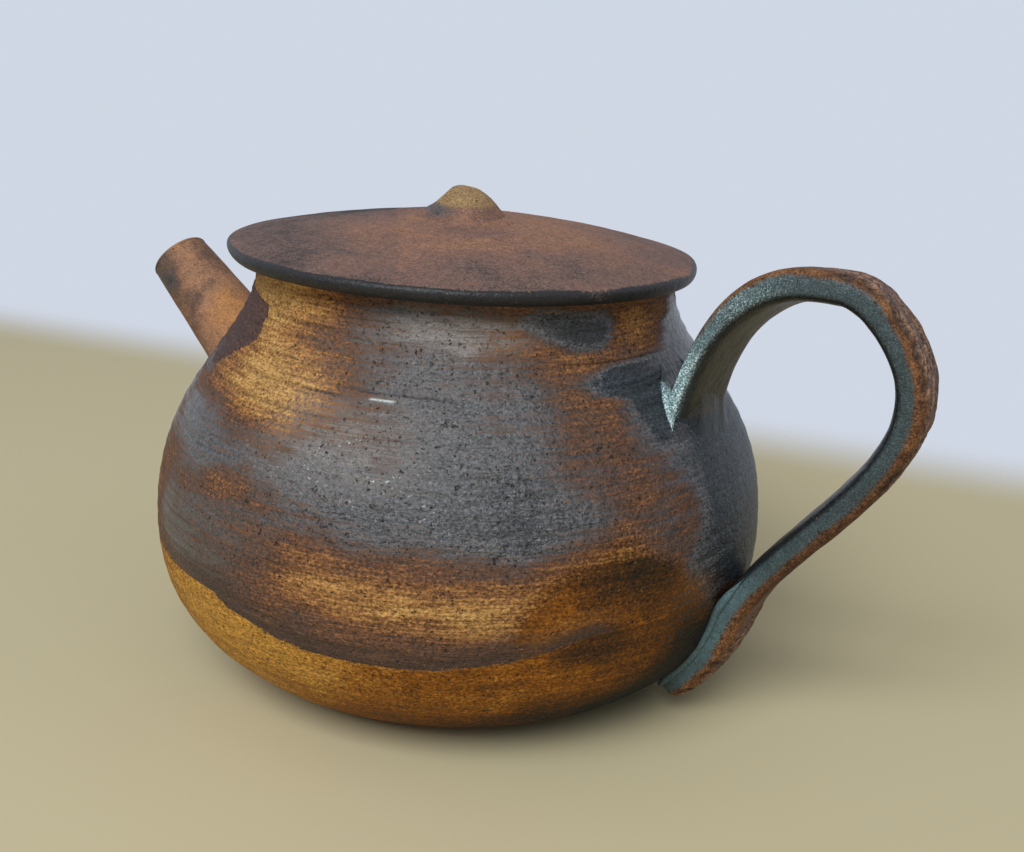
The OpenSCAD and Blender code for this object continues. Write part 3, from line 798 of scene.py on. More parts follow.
def mark_field(points, marks, start, drift):
    """Sums soft marks over the wall. drift moves their outlines about."""
    azimuth = np.degrees(np.arctan2(points[..., 1], points[..., 0]))
    level = np.full(points.shape[:-1], start)
    for middle, height, half_w, half_h, soft, amount in marks:
        off = np.radians(turned(azimuth, middle)) * wall_r(height) + DRIFT_ACROSS * drift[0]
        rise = points[..., 2] - height + DRIFT_UP * drift[1]
        far = np.hypot(off / half_w, rise / half_h)
        level = level + amount * smooth(far, 1 + soft, 1 - soft)
    return level


def shadow_depth(points):
    """How far inside the spout's shadow each point is, in millimetres."""
    azimuth = np.degrees(np.arctan2(points[..., 1], points[..., 0]))
    across = np.radians(-turned(azimuth, SHADOW_SIDE)) * NECK_R
    z = points[..., 2]
    low = SHADOW_LOW - SHADOW_SLANT * across
    depth = np.minimum(np.minimum(across, z - low), SHADOW_HIGH + 0.1 * across - z)
    return np.clip(np.minimum(depth, SHADOW_WIDE - across), -4, 4)


def make_pot(material):
    line, skin = pot_profile()
    points, turn = lathe(line, POT_COLUMNS)
    z = line[:, 1][:, None]
    azimuth = np.degrees(turn)[None, :]
    outside = skin[:, None]
    body = outside * smooth(z, 0.3, 3.0) * smooth(z, POT_H - 0.6, POT_H - 2.5)
    oval = -WALL_LOW + 0.15 * np.sin(2 * turn + 0.6) + 0.10 * np.sin(3 * turn + 1.9 + z / 24)
    drift = soft_field(points, 16.0, 3.1), soft_field(points, 16.0, 7.9)
    upper = 0.45 + 0.55 * smooth(z, 50, 80)
    rings = RING_DEEP * upper * np.sin(2 * math.pi * z / RING_PITCH + turn + 2.0 * drift[0])
    rings = rings + FINE_DEEP * upper * np.sin(2 * math.pi * z / FINE_PITCH - 2 * turn + 5.0 * drift[0])
    groove = np.zeros(points.shape[:2])
    for height, middle, half, deep, wide in GROOVES:
        off = turned(azimuth, middle)
        wander = 0.2 * np.sin(np.radians(off) * 4 + height) + 0.15 * drift[1]
        cut = deep * hump(z + wander, height, wide) * smooth(np.abs(off), half, half * 0.6)
        groove = np.maximum(groove, cut)
    full = LOW_FULL * hump(z, LOW_FULL_Z, LOW_FULL_HALF)
    amount = body * (oval + full + rings + 0.14 * drift[0] - groove)

    def share(marks):
        return np.clip(mark_field(points, marks, 0.0, drift), 0, 1)

    along = turned(azimuth, SCRATCH_AT)
    scratch = hump(z + SCRATCH_FALL * along, SCRATCH_Z, SCRATCH_THIN)
    values = {
        "groove": groove * body / GROOVE_FULL,
        "hidden": np.repeat(1 - outside * smooth(z, -0.1, 0.05), POT_COLUMNS, axis=1),
        "smoke": mark_field(points, MARKS, SMOKE_START, drift),
        "stain": mark_field(points, STAINS, STAIN_START, drift),
        "amber": mark_field(points, FLUSH, 0.0, drift),
        "band": share(BAND),
        "slip": shadow_depth(points),
        "painted_glint": outside * share(PAINTED_GLINTS),
        "ash_sheen": share(ASH_SHEEN_MARKS),
        "wiped": outside * share(WIPES),
        "scratch": outside * scratch * smooth(np.abs(along), SCRATCH_HALF, SCRATCH_HALF * 0.8),
    }
    points = shift_out(points, turn, profile_normals(line), amount)
    piece = make(
        "pot_wall", tilt(points), tube_faces(len(line), POT_COLUMNS), material, "pot", ["pot"],
        values)
    pierce(piece)
    return piece


def spout_basis():
    rise = math.radians(SPOUT_ANGLE)
    ahead = np.array([-math.cos(rise), 0.0, math.sin(rise)])
    across = np.array([0.0, 1.0, 0.0])
    seat = np.array([-float(wall_r(SPOUT_Z)), 0.0, SPOUT_Z])
    return seat, ahead, across, np.cross(ahead, across)


HOLE_SIDES = 28


def pierce(piece):
    """Opens the strainer's holes through the wall behind the spout."""
    seat, ahead, across, up = spout_basis()
    spots = [(0.0, 0.0)]
    for i in range(STRAINER_COUNT):
        turn = 2 * math.pi * i / STRAINER_COUNT
        spots.append((STRAINER_RING_R * math.cos(turn), STRAINER_RING_R * math.sin(turn)))
    r = STRAINER_HOLE / 2
    points, faces = [], []
    for a, b in spots:
        start = len(points)
        for t in (-3 * WALL, 3 * WALL):
            for k in range(HOLE_SIDES):
                turn = 2 * math.pi * k / HOLE_SIDES
                aside = (a + r * math.cos(turn)) * across + (b + r * math.sin(turn)) * up
                points.append(seat + t * ahead + aside)
        faces += [[start + v for v in face] for face in tube_faces(2, HOLE_SIDES)]
    cutter = new_object("strainer_cut", new_mesh("strainer_cut", points, faces))
    cut = piece.modifiers.new("strainer", "BOOLEAN")
    cut.operation, cut.object, cut.solver = "DIFFERENCE", cutter, "MANIFOLD"
    bpy.context.view_layer.update()
    opened = bpy.data.meshes.new_from_object(piece.evaluated_get(bpy.context.evaluated_depsgraph_get()))
    piece.modifiers.clear()
    piece.data = opened
    opened.set_sharp_from_angle(angle=math.radians(SHARP_ANGLE))
    bpy.data.objects.remove(cutter)


# Spout: a tapered tube whose root spreads onto the wall, with a bore that opens into a funnel

SPOUT_SIDES, SPOUT_ROWS = 112, 90
# The mouth ends a little short of the solid, and flank and funnel start this deep in the wall
MOUTH_LOW, FLANK_SINK, FUNNEL_SINK = 0.1, 0.8, 0.5
# Rows of points past the flank after which the lip is sooty, and after which the bore is hidden
SOOTY_ROW, HIDDEN_ROW = 6, 14
# The root spreads onto the wall: how far, and the length over which that fades
ROOT_SPREAD, ROOT_FADE = 2.6, 3.2
# Smoke on the spout as a whole and inside its mouth
SPOUT_START, MOUTH_SMOKE = 0.34, 0.95
# Smudges on the spout: how far along it, on which side in degrees, half size in millimetres and smoke
SPOUT_MARKS = [
    (35, 176, 7, 0.42), (28, 160, 6, 0.2), (21.8, 202, 3.2, 0.22), (21.6, 233, 2.4, 0.2),
    (14, 165, 9, 0.22), (8, 222, 9, -0.3), (10, 250, 8, -0.2), (2, 190, 7, 0.15), (30, 20, 8, 0.3),
    (12, 0, 9, -0.25), (30, 300, 9, 0.2), (6, 320, 9, 0.25),
]


def make_spout(material):
    seat, ahead, across, up = spout_basis()
    sink, long = SPOUT_ROOT_R + WALL, SPOUT_LEN - MOUTH_LOW
    flank = curve(
        [SPOUT_ROOT_R + SPOUT_FLARE, -sink], [SPOUT_ROOT_R, 0],
        [SPOUT_ROOT_R, SPOUT_LEN / 4], [MOUTH_R, long - LIP_ROUND])
    turn = np.linspace(0, 2 * math.pi, SPOUT_SIDES, endpoint=False)
    side = np.cos(turn)[:, None] * across + np.sin(turn)[:, None] * up
    ones = np.ones(SPOUT_SIDES)

    def at(t, r):
        """Points of the tube, for values with one column per side."""
        return seat + t[..., None] * ahead + r[..., None] * side

    def meets(radius_of, depth):
        """How far along the axis each side of the tube comes out of the wall."""
        t = np.linspace(-sink, SPOUT_LEN * 0.7, 600)[:, None] * ones
        return last_inside(t, proud(at(t, radius_of(t))) < -depth)

    def outer(t):
        return np.interp(t, flank[:, 1], flank[:, 0])

    bare = meets(outer, 0.0)

    def spread(t):
        return outer(t) + ROOT_SPREAD * np.exp(-np.clip(t - bare, -2, None) / ROOT_FADE)

    def funnel(t):
        return np.interp(t, [1.0, FUNNEL_LEN], [FUNNEL_R, BORE_R])

    start, end = meets(spread, FLANK_SINK), meets(funnel, FUNNEL_SINK)
    t = start + (long - LIP_ROUND - start) * np.linspace(0, 1, SPOUT_ROWS)[:, None] ** 1.25
    lump = rough(at(t, spread(t)), 9.0, 5.3, 2)
    small = LIP_ROUND * 0.8
    lip = np.vstack([
        arc([MOUTH_R - LIP_ROUND, long - LIP_ROUND], LIP_ROUND, 0, 90)[1:],
        arc([BORE_R + small, long - small], small, 90, 180),
        [[BORE_R, long - 6], [BORE_R, FUNNEL_LEN + 6]]])
    t_in = FUNNEL_LEN + (end - FUNNEL_LEN) * np.linspace(0, 1, 10)[:, None]
    heights = np.vstack([t, lip[:, 1:] * ones, t_in])
    points = at(heights, np.vstack([spread(t) - 0.12 + 0.12 * lump, lip[:, :1] * ones, funnel(t_in)]))
    hidden = np.zeros(heights.shape)
    hidden[SPOUT_ROWS + HIDDEN_ROW:] = 1
    smoke = np.full(heights.shape, SPOUT_START)
    for middle, angle, half, amount in SPOUT_MARKS:
        off = np.radians(turned(np.degrees(turn)[None, :], angle)) * SPOUT_ROOT_R
        smoke = smoke + amount * smooth(np.hypot(off, heights - middle) / half, 1.6, 0.4)
    smoke[SPOUT_ROWS + SOOTY_ROW:] = MOUTH_SMOKE
    return make(
        "spout_tube", points, ring_faces(len(points), SPOUT_SIDES), material, "pot", ["spout"],
        {"hidden": hidden, "smoke": smoke})


# Handle: a pulled strap swept up from the shoulder, over the top and down along the belly

SECTION_SIDES = 152
# 1 would make the section an oval, and 0 a box
SECTION_POWER = 0.5
STRAP_STEP = 0.36
# Where the top lies between root and bend, how deep the line starts in the pot, and how deep the tail is set
TOP_SHARE, ROOT_SINK, TAIL_BITE = 0.69, 1.46 * STRAP_T, 0.4
# The mesh is a little slimmer than the solid, and its root ends this deep in the wall
STRAP_SLIM, ROOT_DEEP = 0.985, 1.4
# The rising strap is turned about its near edge: shares of its length where that is full and where it ends
TURN_FROM, TURN_TO = 0.25, 0.74
# Its root is pressed thin: the distances where that starts and is full
PRESS_FROM, PRESS_TO = 44.0, 14.0
# The arch is drawn up a little: by how much, and the middle and half length as shares
ARCH_LIFT, ARCH_AT = 1.2, (0.265, 0.06)
# Length of the root's flare, and length and radius of the tail's round end
FLARE_LEN, END_LEN, END_R = 32.0, 8.0, 8.6
# Share by which the strap's width and thickness vary
UNEVEN = 0.012
# The tail wraps round the pot: how far before and after its start that grows
WRAP_BEFORE, WRAP_AFTER = 14.0, 4.0


def tail_at(z):
    """Where the strap's middle line lies beside the wall at a height."""
    radial, up = wall_normal(z)
    off = STRAP_T / 2 - TAIL_BITE
    return np.array([wall_r(z) + off * radial, z + off * up]).T


def strap_line():
    """The strap's middle line in X and Z, from inside the shoulder to the tail's end."""
    root = np.array([float(wall_r(ROOT_Z)) - ROOT_SINK, ROOT_Z])
    bend_x = BELLY_R + HANDLE_OUT - STRAP_T / 2
    top = np.array([root[0] + (bend_x - root[0]) * TOP_SHARE, HANDLE_TOP - STRAP_T / 2])
    bend = np.array([bend_x, top[1] - HANDLE_DROP])
    lay = tail_at(TAIL_TOP_Z)
    lay_dir = unit(lay - tail_at(TAIL_TOP_Z - 3.0))
    lean = math.radians(ROOT_ANGLE)
    root_dir = np.array([math.cos(lean), math.sin(lean)])
    rise, reach, fall = top[1] - root[1], bend_x - top[0], bend[1] - lay[1]
    line = np.vstack([
        curve(root, root + 0.86 * rise * root_dir, top - [0.45 * rise, 0], top),
        curve(top, top + [0.40 * reach, 0], bend + [0, 0.48 * HANDLE_DROP], bend)[1:],
        curve(bend, bend - [0, 0.35 * fall], lay + 0.34 * fall * lay_dir, lay)[1:],
        tail_at(np.linspace(TAIL_TOP_Z, TAIL_END_Z + 1.0, 40))[1:]])
    line = resample(line, 0.2)
    line[:, 1] += ARCH_LIFT * hump(lengths(line) / lengths(line)[-1], *ARCH_AT)
    return line


class Strap:
    """The handle's middle line and section.

    across runs from the near edge to the far one, and up from the inner face to the outer, both from -1 to 1.
    """

    def __init__(self):
        self.line = strap_line()
        self.at = lengths(self.line)
        self.long = self.at[-1]
        self.along = unit(np.gradient(self.line, axis=0))
        self.tail = self.at[np.argmin(np.abs(self.line[:, 1] - TAIL_TOP_Z))]
        turn = np.linspace(0, 2 * math.pi, 4000)
        oval = np.column_stack([
            np.sign(np.cos(turn)) * np.abs(np.cos(turn)) ** SECTION_POWER * STRAP_W / 2,
            np.sign(np.sin(turn)) * np.abs(np.sin(turn)) ** SECTION_POWER * STRAP_T / 2])
        ring = resample(oval, lengths(oval)[-1] / SECTION_SIDES)[:-1]
        self.across, self.up = ring[:, 0] / (STRAP_W / 2), ring[:, 1] / (STRAP_T / 2)

    def size(self, s):
        """Half width and half thickness at a distance along the strap."""
        root = np.clip(1 - s / FLARE_LEN, 0, 1) ** 2
        tail = np.clip((s - self.tail) / (self.long - self.tail), 0, 1)
        end = np.sqrt(1 - np.clip((s - self.long + END_LEN) / END_R, 0, 1) ** 2)
        uneven = 1 + UNEVEN * np.sin(s / 9.0) + 0.010 * np.sin(s / 4.1 + 1)
        wide = (STRAP_W + ROOT_FLARE * root - TAIL_TAPER * tail) * end * STRAP_SLIM * (uneven - UNEVEN)
        return wide / 2, STRAP_T / 2 * end * STRAP_SLIM * (2 - uneven - UNEVEN)

    def points(self, s, inset=0.0):
        """Points at distances s, one column per side of the section, or a little inside it."""
        x, z = (np.interp(s, self.at, self.line[:, k]) for k in (0, 1))
        dx, dz = (np.interp(s, self.at, self.along[:, k]) for k in (0, 1))
        wide, thick = self.size(s)
        thick = thick * np.where(self.up > 0, 1 - ROOT_PRESS * smooth(s, PRESS_FROM, PRESS_TO), 1.0) - inset
        wide = wide - inset
        roll = math.radians(STRAP_TURN) * smooth(s / self.long, TURN_TO, TURN_FROM)
        y, up = self.across * wide, self.up * thick
        y, up = y * np.cos(roll) + up * np.sin(roll), up * np.cos(roll) - (y + wide) * np.sin(roll)
        px, pz = x - dz * up, z + dx * up
        wrap = smooth(s, self.tail - WRAP_BEFORE, self.tail + WRAP_AFTER)
        bent = np.sqrt(np.clip(px ** 2 - y ** 2, 1, None))
        return np.stack([px + wrap * (bent - px), y, pz], axis=-1)

    def comes_out(self, depth):
        """Where each side of the strap leaves the shoulder, at a depth below the wall."""
        s = np.linspace(0, 45, 900)[:, None] * np.ones(SECTION_SIDES)
        return last_inside(s, proud(self.points(s)) < -depth)


def pressed_marks(strap):
    """Dents in the strap's back: distance, place across, slant, length, width and depth.

    Fine leaf-like veins lie along the middle, and deeper nicks along the two edges.
    """
    draw = random.Random(11)
    marks = []
    for start, end in ((0.315, 0.60), (0.84, 0.98)):
        s = start * strap.long
        while s < end * strap.long:
            for side in (-1, 1):
                marks.append((
                    s + draw.uniform(-0.8, 0.8), side * draw.uniform(0.6, 6.6),
                    side * draw.uniform(0.3, 0.75), draw.uniform(1.8, 3.2),
                    draw.uniform(0.40, 0.55), draw.uniform(0.35, 0.7)))
            if draw.random() < 0.5:
                side = draw.choice((-1, -1, 1))
                marks.append((
                    s, side * draw.uniform(7.4, 8.8),
                    side * draw.uniform(0.2, 0.9), draw.uniform(1.3, 2.0),
                    draw.uniform(0.8, 1.2), draw.uniform(0.6, 0.95)))
            s += draw.uniform(1.8, 2.8)
    return marks


# The strap's back stands a little higher round its top: by how much, and the shares where that comes and goes
FULL_H, FULL_UP, FULL_DOWN = 0.3, (0.22, 0.30), (0.38, 0.33)
# The rows of the mesh are slanted to the wall up to this distance, and square to the strap after it
SQUARE_FROM = 40.0
# The depth of a dent and the height of a lip that take their full painted shade and painted highlight
DENT_FULL, LIP_FULL = 0.5, 0.25
# Height of the skin's lumps, and how far it lies inside the solid on the whole
LUMP_H, SKIN_LOW = 0.12, 0.10
# Two larger nicks in the near edge: share of the strap's length, half length, and where across it they fade
NICKS = [(0.335, 0.8, (-5.0, -8.0)), (0.905, 1.1, (-4.0, -7.0))]


def strap_place(shape, along, across, up):
    """Where on the strap the points of a piece are taken to lie, for its material."""
    return np.stack([np.broadcast_to(v, shape) for v in (along, across, up)], axis=-1)


def make_handle(strap, material):
    start = strap.comes_out(ROOT_DEEP)
    count = round((SQUARE_FROM - start.min()) / STRAP_STEP)
    first = start + (SQUARE_FROM - start) * np.linspace(0, 1, count + 1)[:, None]
    rest = np.linspace(SQUARE_FROM, strap.long, round((strap.long - SQUARE_FROM) / STRAP_STEP))[1:]
    s = np.concatenate([first, rest[:, None] * np.ones(SECTION_SIDES)])
    points = strap.points(s)
    wide, _ = strap.size(s)
    level = strap.across * wide
    back = smooth(strap.up, 0.35, 0.85)
    dents, lips = np.zeros(s.shape), np.zeros(s.shape)
    for at, place, slant, long, thin, deep in pressed_marks(strap):
        rows = np.flatnonzero(np.abs(s[:, 0] - at) < 3 * long)
        u, v = s[rows] - at, level[rows] - place
        a = u * math.cos(slant) + v * math.sin(slant)
        b = -u * math.sin(slant) + v * math.cos(slant)
        reach = np.exp(-(a / long) ** 4)
        dents[rows] = np.maximum(dents[rows], deep * reach * np.exp(-(b / thin) ** 2))
        lips[rows] = np.maximum(lips[rows], 0.4 * deep * reach * np.exp(-((b - 1.8 * thin) / thin) ** 2))
    for share, half, fade in NICKS:
        dents = np.maximum(dents, hump(s, share * strap.long, half) * smooth(level, *fade))
    press = back * dents
    lips = back * lips * (press < 0.15)
    full = FULL_H * back * smooth(s / strap.long, *FULL_UP) * smooth(s / strap.long, *FULL_DOWN)
    lump = rough(points[::3, ::3], 6.0, 8.7, 3)
    lump = np.repeat(np.repeat(lump, 3, axis=0), 3, axis=1)[:points.shape[0], :points.shape[1]]
    for axis in (0, 1):
        lump = (np.roll(lump, 1, axis) + lump + np.roll(lump, -1, axis)) / 3
    out = np.cross(np.roll(points, -1, axis=1) - np.roll(points, 1, axis=1), np.gradient(points, axis=0))
    out /= np.maximum(np.linalg.norm(out, axis=-1), 1e-9)[..., None]
    middle = points.mean(axis=1, keepdims=True)
    out *= np.sign(np.sum(out * (points - middle), axis=-1))[..., None]
    points = points + (LUMP_H * lump - SKIN_LOW + full + lips - press)[..., None] * out
    values = {
        "groove": np.clip(press / DENT_FULL, 0, 1),
        "lip": np.clip(lips / LIP_FULL, 0, 1),
        "strap": strap_place(s.shape, s / strap.long, strap.across, strap.up),
        "smear": np.zeros(s.shape)}
    return make(
        "strap_handle", points, tube_faces(len(points), SECTION_SIDES), material, "pot", ["handle"],
        values)


def loop_away(corner):
    """Directions that lie in the wall and point out from a line on it."""
    away = unit(np.cross(wall_out(corner), np.gradient(corner, axis=0)))
    return away * np.sign(np.sum(away * (corner - corner.mean(axis=0)), axis=1))[:, None]


def make_seam(name, node, points, faces, material, place, smear):
    """Clay worked along a seam. Each row of points is one section across it."""
    shape = points.shape[:2]
    values = {"groove": np.zeros(shape), "strap": strap_place(shape, *place), "smear": smear}
    return make(name, tilt(points), faces(*shape), material, "pot", [node], values, sharp=60)


def bead(middle, across, out, wide, high, sides):
    """Points of a rolled bead along a line, with its half width and half height at each point of the line."""
    turn = np.linspace(0, 2 * math.pi, sides, endpoint=False)
    level = (wide[:, None] * np.cos(turn))[..., None] * across[:, None]
    return middle[:, None] + level + (high[:, None] * np.sin(turn))[..., None] * out[:, None]


# How far the root's clay runs up the strap and out over the wall: at its sides, and in the broad fillet
# under it
ROOT_CLIMB, ROOT_CLIMB_LOW, ROOT_RUN, ROOT_RUN_LOW = 0.6, 8.0, 1.4, 9.0
ROOT_BLUR = 13
# Rows across it, passes that smooth its ring, and how deep its edge and its back lie in the wall
COIL_ROWS, COIL_PASSES, COIL_EDGE, COIL_BACK = 34, 6, 0.9, 1.8


def make_root_coil(strap, material):
    """Clay smeared round the strap's root, with a broad fillet toward the finger gap."""
    s = strap.comes_out(0.0)
    corner = strap.points(s[None])[0]
    face = strap.up / np.maximum(np.abs(strap.across), 0.05)
    far = smooth(strap.across, 0.0, 0.9)
    low = (1 - far) * smooth(-face, 1.0, 3.0) + far * smooth(-face, -0.4, 1.2)
    # The change from side to fillet is blurred round the ring
    window = np.hanning(ROOT_BLUR + 2)
    low = np.convolve(np.tile(low, 3), window / window.sum(), "same")[len(s):2 * len(s)]
    top = strap.points((s + ROOT_CLIMB + ROOT_CLIMB_LOW * low)[None], inset=0.5)[0]
    ring = np.concatenate([corner[-1:], corner, corner[:1]])
    for _ in range(COIL_PASSES):
        ring[1:-1] = (ring[:-2] + 2 * ring[1:-1] + ring[2:]) / 4
        ring[0], ring[-1] = ring[-2], ring[1]
    away = loop_away(ring)[1:-1]
    run = ROOT_RUN + ROOT_RUN_LOW * low
    foot = on_wall(corner + run[:, None] * away, np.zeros(len(s)))
    rows, smears = [], []
    for t in np.linspace(0, 1, COIL_ROWS):
        point = (1 - t) ** 2 * top + 2 * t * (1 - t) * corner + t ** 2 * foot
        rows.append(point - COIL_EDGE * smooth(t, 0.35, 1.0) * wall_out(point))
        smears.append(smooth(t, 0.2, 0.6) * np.ones(len(s)))
    for base in (foot, corner):
        rows.append(base - COIL_BACK * wall_out(base))
        smears.append(np.ones(len(s)))
    place = 0.04, strap.across[:, None], strap.up[:, None]
    return make_seam("root_coil", "handle_root_coil", np.stack(rows, axis=1), ring_faces, material, place,
                     np.stack(smears, axis=1))


# A ridge of clay pushed up the wall on each side of the root: azimuth and height of its two ends, and its
# half width, height and depth in the wall
RIDGE_LOW, RIDGE_HIGH = (-12.4, 72.4), (-4.8, 85.0)
RIDGE_HALF, RIDGE_H, RIDGE_SINK, RIDGE_SIDES = 1.6, 0.85, 0.2, 20


def make_ridge(name, side, material):
    t = np.linspace(0, 1, 60)
    azimuth = np.radians(RIDGE_LOW[0] + (RIDGE_HIGH[0] - RIDGE_LOW[0]) * t) * side
    z = RIDGE_LOW[1] + (RIDGE_HIGH[1] - RIDGE_LOW[1]) * t
    middle = np.column_stack([wall_r(z) * np.cos(azimuth), wall_r(z) * np.sin(azimuth), z])
    out = wall_out(middle)
    across = unit(np.cross(out, np.gradient(middle, axis=0)))
    size = (smooth(t, -0.02, 0.30) * smooth(t, 1.02, 0.50) + 0.03) * (1 + 0.12 * rough(middle, 3.0, 1.7, 2))
    points = bead(middle - RIDGE_SINK * out, across, out, RIDGE_HALF * size, RIDGE_H * size, RIDGE_SIDES)
    smear = np.repeat(smooth(t, 0.30, 0.90)[:, None], RIDGE_SIDES, axis=1)
    place = (0.02 + 0.16 * t)[:, None], 1.0, 0.0
    return make_seam(name, "handle_root_coil", points, tube_faces, material, place, smear)


# A thin bead of clay along the tail: how far above the strap's tail it starts, its radius, and its place
# beside the strap
TAIL_LEAD, BEAD_R, BEAD_OUT, BEAD_UP, BEAD_SIDES = 11.0, 0.95, 0.30, -0.72, 18


def make_tail_coil(strap, material):
    """A bead of clay beside the strap's tail, down one side, round its end and up the other."""
    s = np.linspace(strap.tail - TAIL_LEAD, strap.long, 150)
    skin = strap.points(s[:, None] * np.ones(SECTION_SIDES))
    near = int(np.argmin(np.hypot(strap.across + 1, strap.up - BEAD_UP)))
    far = int(np.argmin(np.hypot(strap.across - 1, strap.up - BEAD_UP)))
    under = np.arange(near, far) if near < far else np.arange(far, near)[::-1]
    middle = resample(np.concatenate([skin[:, near], skin[-1, under[2:-2:3]], skin[::-1, far]]), 0.4)
    out = wall_out(middle)
    away = loop_away(middle)
    middle = middle + BEAD_OUT * away
    share = np.abs(np.linspace(-1, 1, len(middle)))
    size = (smooth(share, 1.0, 0.86) + 0.05) * (1 - 0.3 * smooth(share, 0.3, 0.05))
    size = BEAD_R * size * (1 + 0.14 * rough(middle, 4.0, 2.2, 2))
    points = bead(middle, away, out, size, -size, BEAD_SIDES)
    return make_seam("tail_coil", "handle_tail_coil", points, tube_faces, material, (0.9, 1.0, -0.3),
                     np.zeros(points.shape[:2]))


# Lid: a turned plate with a low crown and a rolled edge, its flange, and a small leaning knob

LID_COLUMNS, FLANGE_COLUMNS = 384, 240
# How far the flange and the knob reach into the plate
FLANGE_IN, KNOB_IN = 0.3, 1.8
# Slope of the crown's edge, gap between the neck's rim and the lip, and radius of the edge's upper corner
EDGE_SLOPE, LIP_GAP, ARRIS_R = 14.0, 1.2, 1.3
# The edge is a little wider than a true circle, and off the axis
LID_GROW, LID_OFF = 0.5, 0.9
# The crown swells a little round the knob
BOSS_H, BOSS_R = 0.55, 15.5
lid_top = POT_H + LID_RISE
edge_r = LID_EDGE_T / 2
edge_centre = np.array([LID_R - edge_r, POT_H - LID_DROOP + edge_r])
edge_lean = math.radians(EDGE_SLOPE)
crown_foot = edge_centre + edge_r * np.array([math.sin(edge_lean), math.cos(edge_lean)])
crown_fall = (lid_top - crown_foot[1]) / (crown_foot[0] ** 2 - KNOB_R ** 2)
flange_r = NECK_R - WALL - LID_CLEAR

# Marks on the lid: place, half size and smoke
LID_START = 0.36
LID_MARKS = [
    (-14, -45, 15, 0.16), (20, -45, 13, 0.24), (38, -32, 11, 0.14), (50, -11, 13, 0.2),
    (-10, -18, 16, -0.22), (24, 0, 18, -0.16), (12, -36, 14, -0.18), (-8, 32, 20, -0.2),
    (-38, -14, 20, 0.22), (-30, 16, 18, 0.18), (10, -12, 6, 0.2), (40, 22, 16, 0.2), (2, -24, 9, 0.12),
    (34, -26, 14, 0.08),
]
# A straight edge of flame across the lid: its direction, its distance from the axis and the smoke beyond it
FLAME_LINE = (-0.80, -0.60, 17.0, 0.16)


def crown_z(r):
    """Height of the lid's upper face at a distance from the axis."""
    return lid_top - crown_fall * np.clip(np.asarray(r, float) ** 2 - KNOB_R ** 2, 0, None)


def make_lid(material):
    inner = flange_r - FLANGE_T
    hollow = np.linspace(AXIS_R, inner, 30)
    hollow = np.column_stack([hollow, crown_z(hollow) - LID_T])
    lip = rim_r + LIP_GAP
    low = POT_H - LID_DROOP
    under = np.vstack([hollow, [[inner, POT_H], [lip, POT_H], [lip + LID_DROOP, low]]])
    arris_r = LID_R - ARRIS_R
    arris = np.array([arris_r, crown_foot[1] - ARRIS_R - (arris_r - crown_foot[0]) * math.tan(edge_lean)])
    r = np.linspace(crown_foot[0], AXIS_R, 150)
    over = resample(np.vstack([
        curve([lip + LID_DROOP, low], [LID_R - 0.9, low], [LID_R, arris[1] - 1.2], [LID_R, arris[1]], 20),
        arc(arris, ARRIS_R, 0, 90 - EDGE_SLOPE, 10)[1:],
        np.column_stack([r, crown_z(r)])]), 0.4)
    line = np.vstack([resample(under, 0.8), over[1:]])
    shown = np.zeros(len(line))
    shown[-len(over) + 1:] = 1
    points, turn = lathe(line, LID_COLUMNS)
    radius = line[:, 0][:, None]
    outer = smooth(radius, LID_R - 16, LID_R - 2)
    drift = soft_field(points, 14.0, 5.5)
    swirl = 0.05 * np.sin(2 * math.pi * radius / 2.9 + turn)
    swirl = swirl + 0.08 * np.sin(2 * math.pi * radius / 7.7 - turn + 1)
    boss = BOSS_H * smooth(radius, BOSS_R, BOSS_R * 0.5)
    wave = 0.14 * np.sin(2 * turn + 1.2) + 0.10 * np.sin(3 * turn + radius / 14) + 0.12 * drift
    middle = smooth(radius, 0.5, 6) * (1 - outer)
    amount = shown[:, None] * (middle * (swirl + wave) + boss + 0.3 * hump(radius, 22, 5))
    smoke = np.full(points.shape[:2], LID_START)
    for x, y, half, add in LID_MARKS:
        far = np.hypot(points[..., 0] - x + 5 * drift, points[..., 1] - y - 5 * drift)
        smoke = smoke + add * smooth(far / half, 1.7, 0.4)
    beyond = points[..., 0] * FLAME_LINE[0] + points[..., 1] * FLAME_LINE[1] - FLAME_LINE[2]
    smoke = smoke + FLAME_LINE[3] * smooth(beyond, -0.8, 0.8)
    inward = lengths(line) - lengths(line)[np.argmax(line[:, 0] + line[:, 1])]
    edge = np.repeat(smooth(inward, 2.2, -0.6)[:, None], LID_COLUMNS, axis=1)
    points = shift_out(points, turn, profile_normals(line), amount)
    grow = shown[:, None] * outer * (
        LID_GROW + 0.18 * np.sin(3 * turn + 0.4) + 0.14 * np.sin(7 * turn + 2) + 0.10 * np.sin(12 * turn))
    points[..., 0] += grow * np.cos(turn) - LID_OFF * outer * shown[:, None] * TILT_ALONG[0]
    points[..., 1] += grow * np.sin(turn) - LID_OFF * outer * shown[:, None] * TILT_ALONG[1]
    hidden = np.repeat(1 - shown[:, None], LID_COLUMNS, axis=1)
    return make(
        "lid_disc", tilt(points, fade=False), tube_faces(len(line), LID_COLUMNS), material, "lid",
        ["lid_plate"], {"hidden": hidden, "smoke": smoke, "edge": edge}, sharp=50)


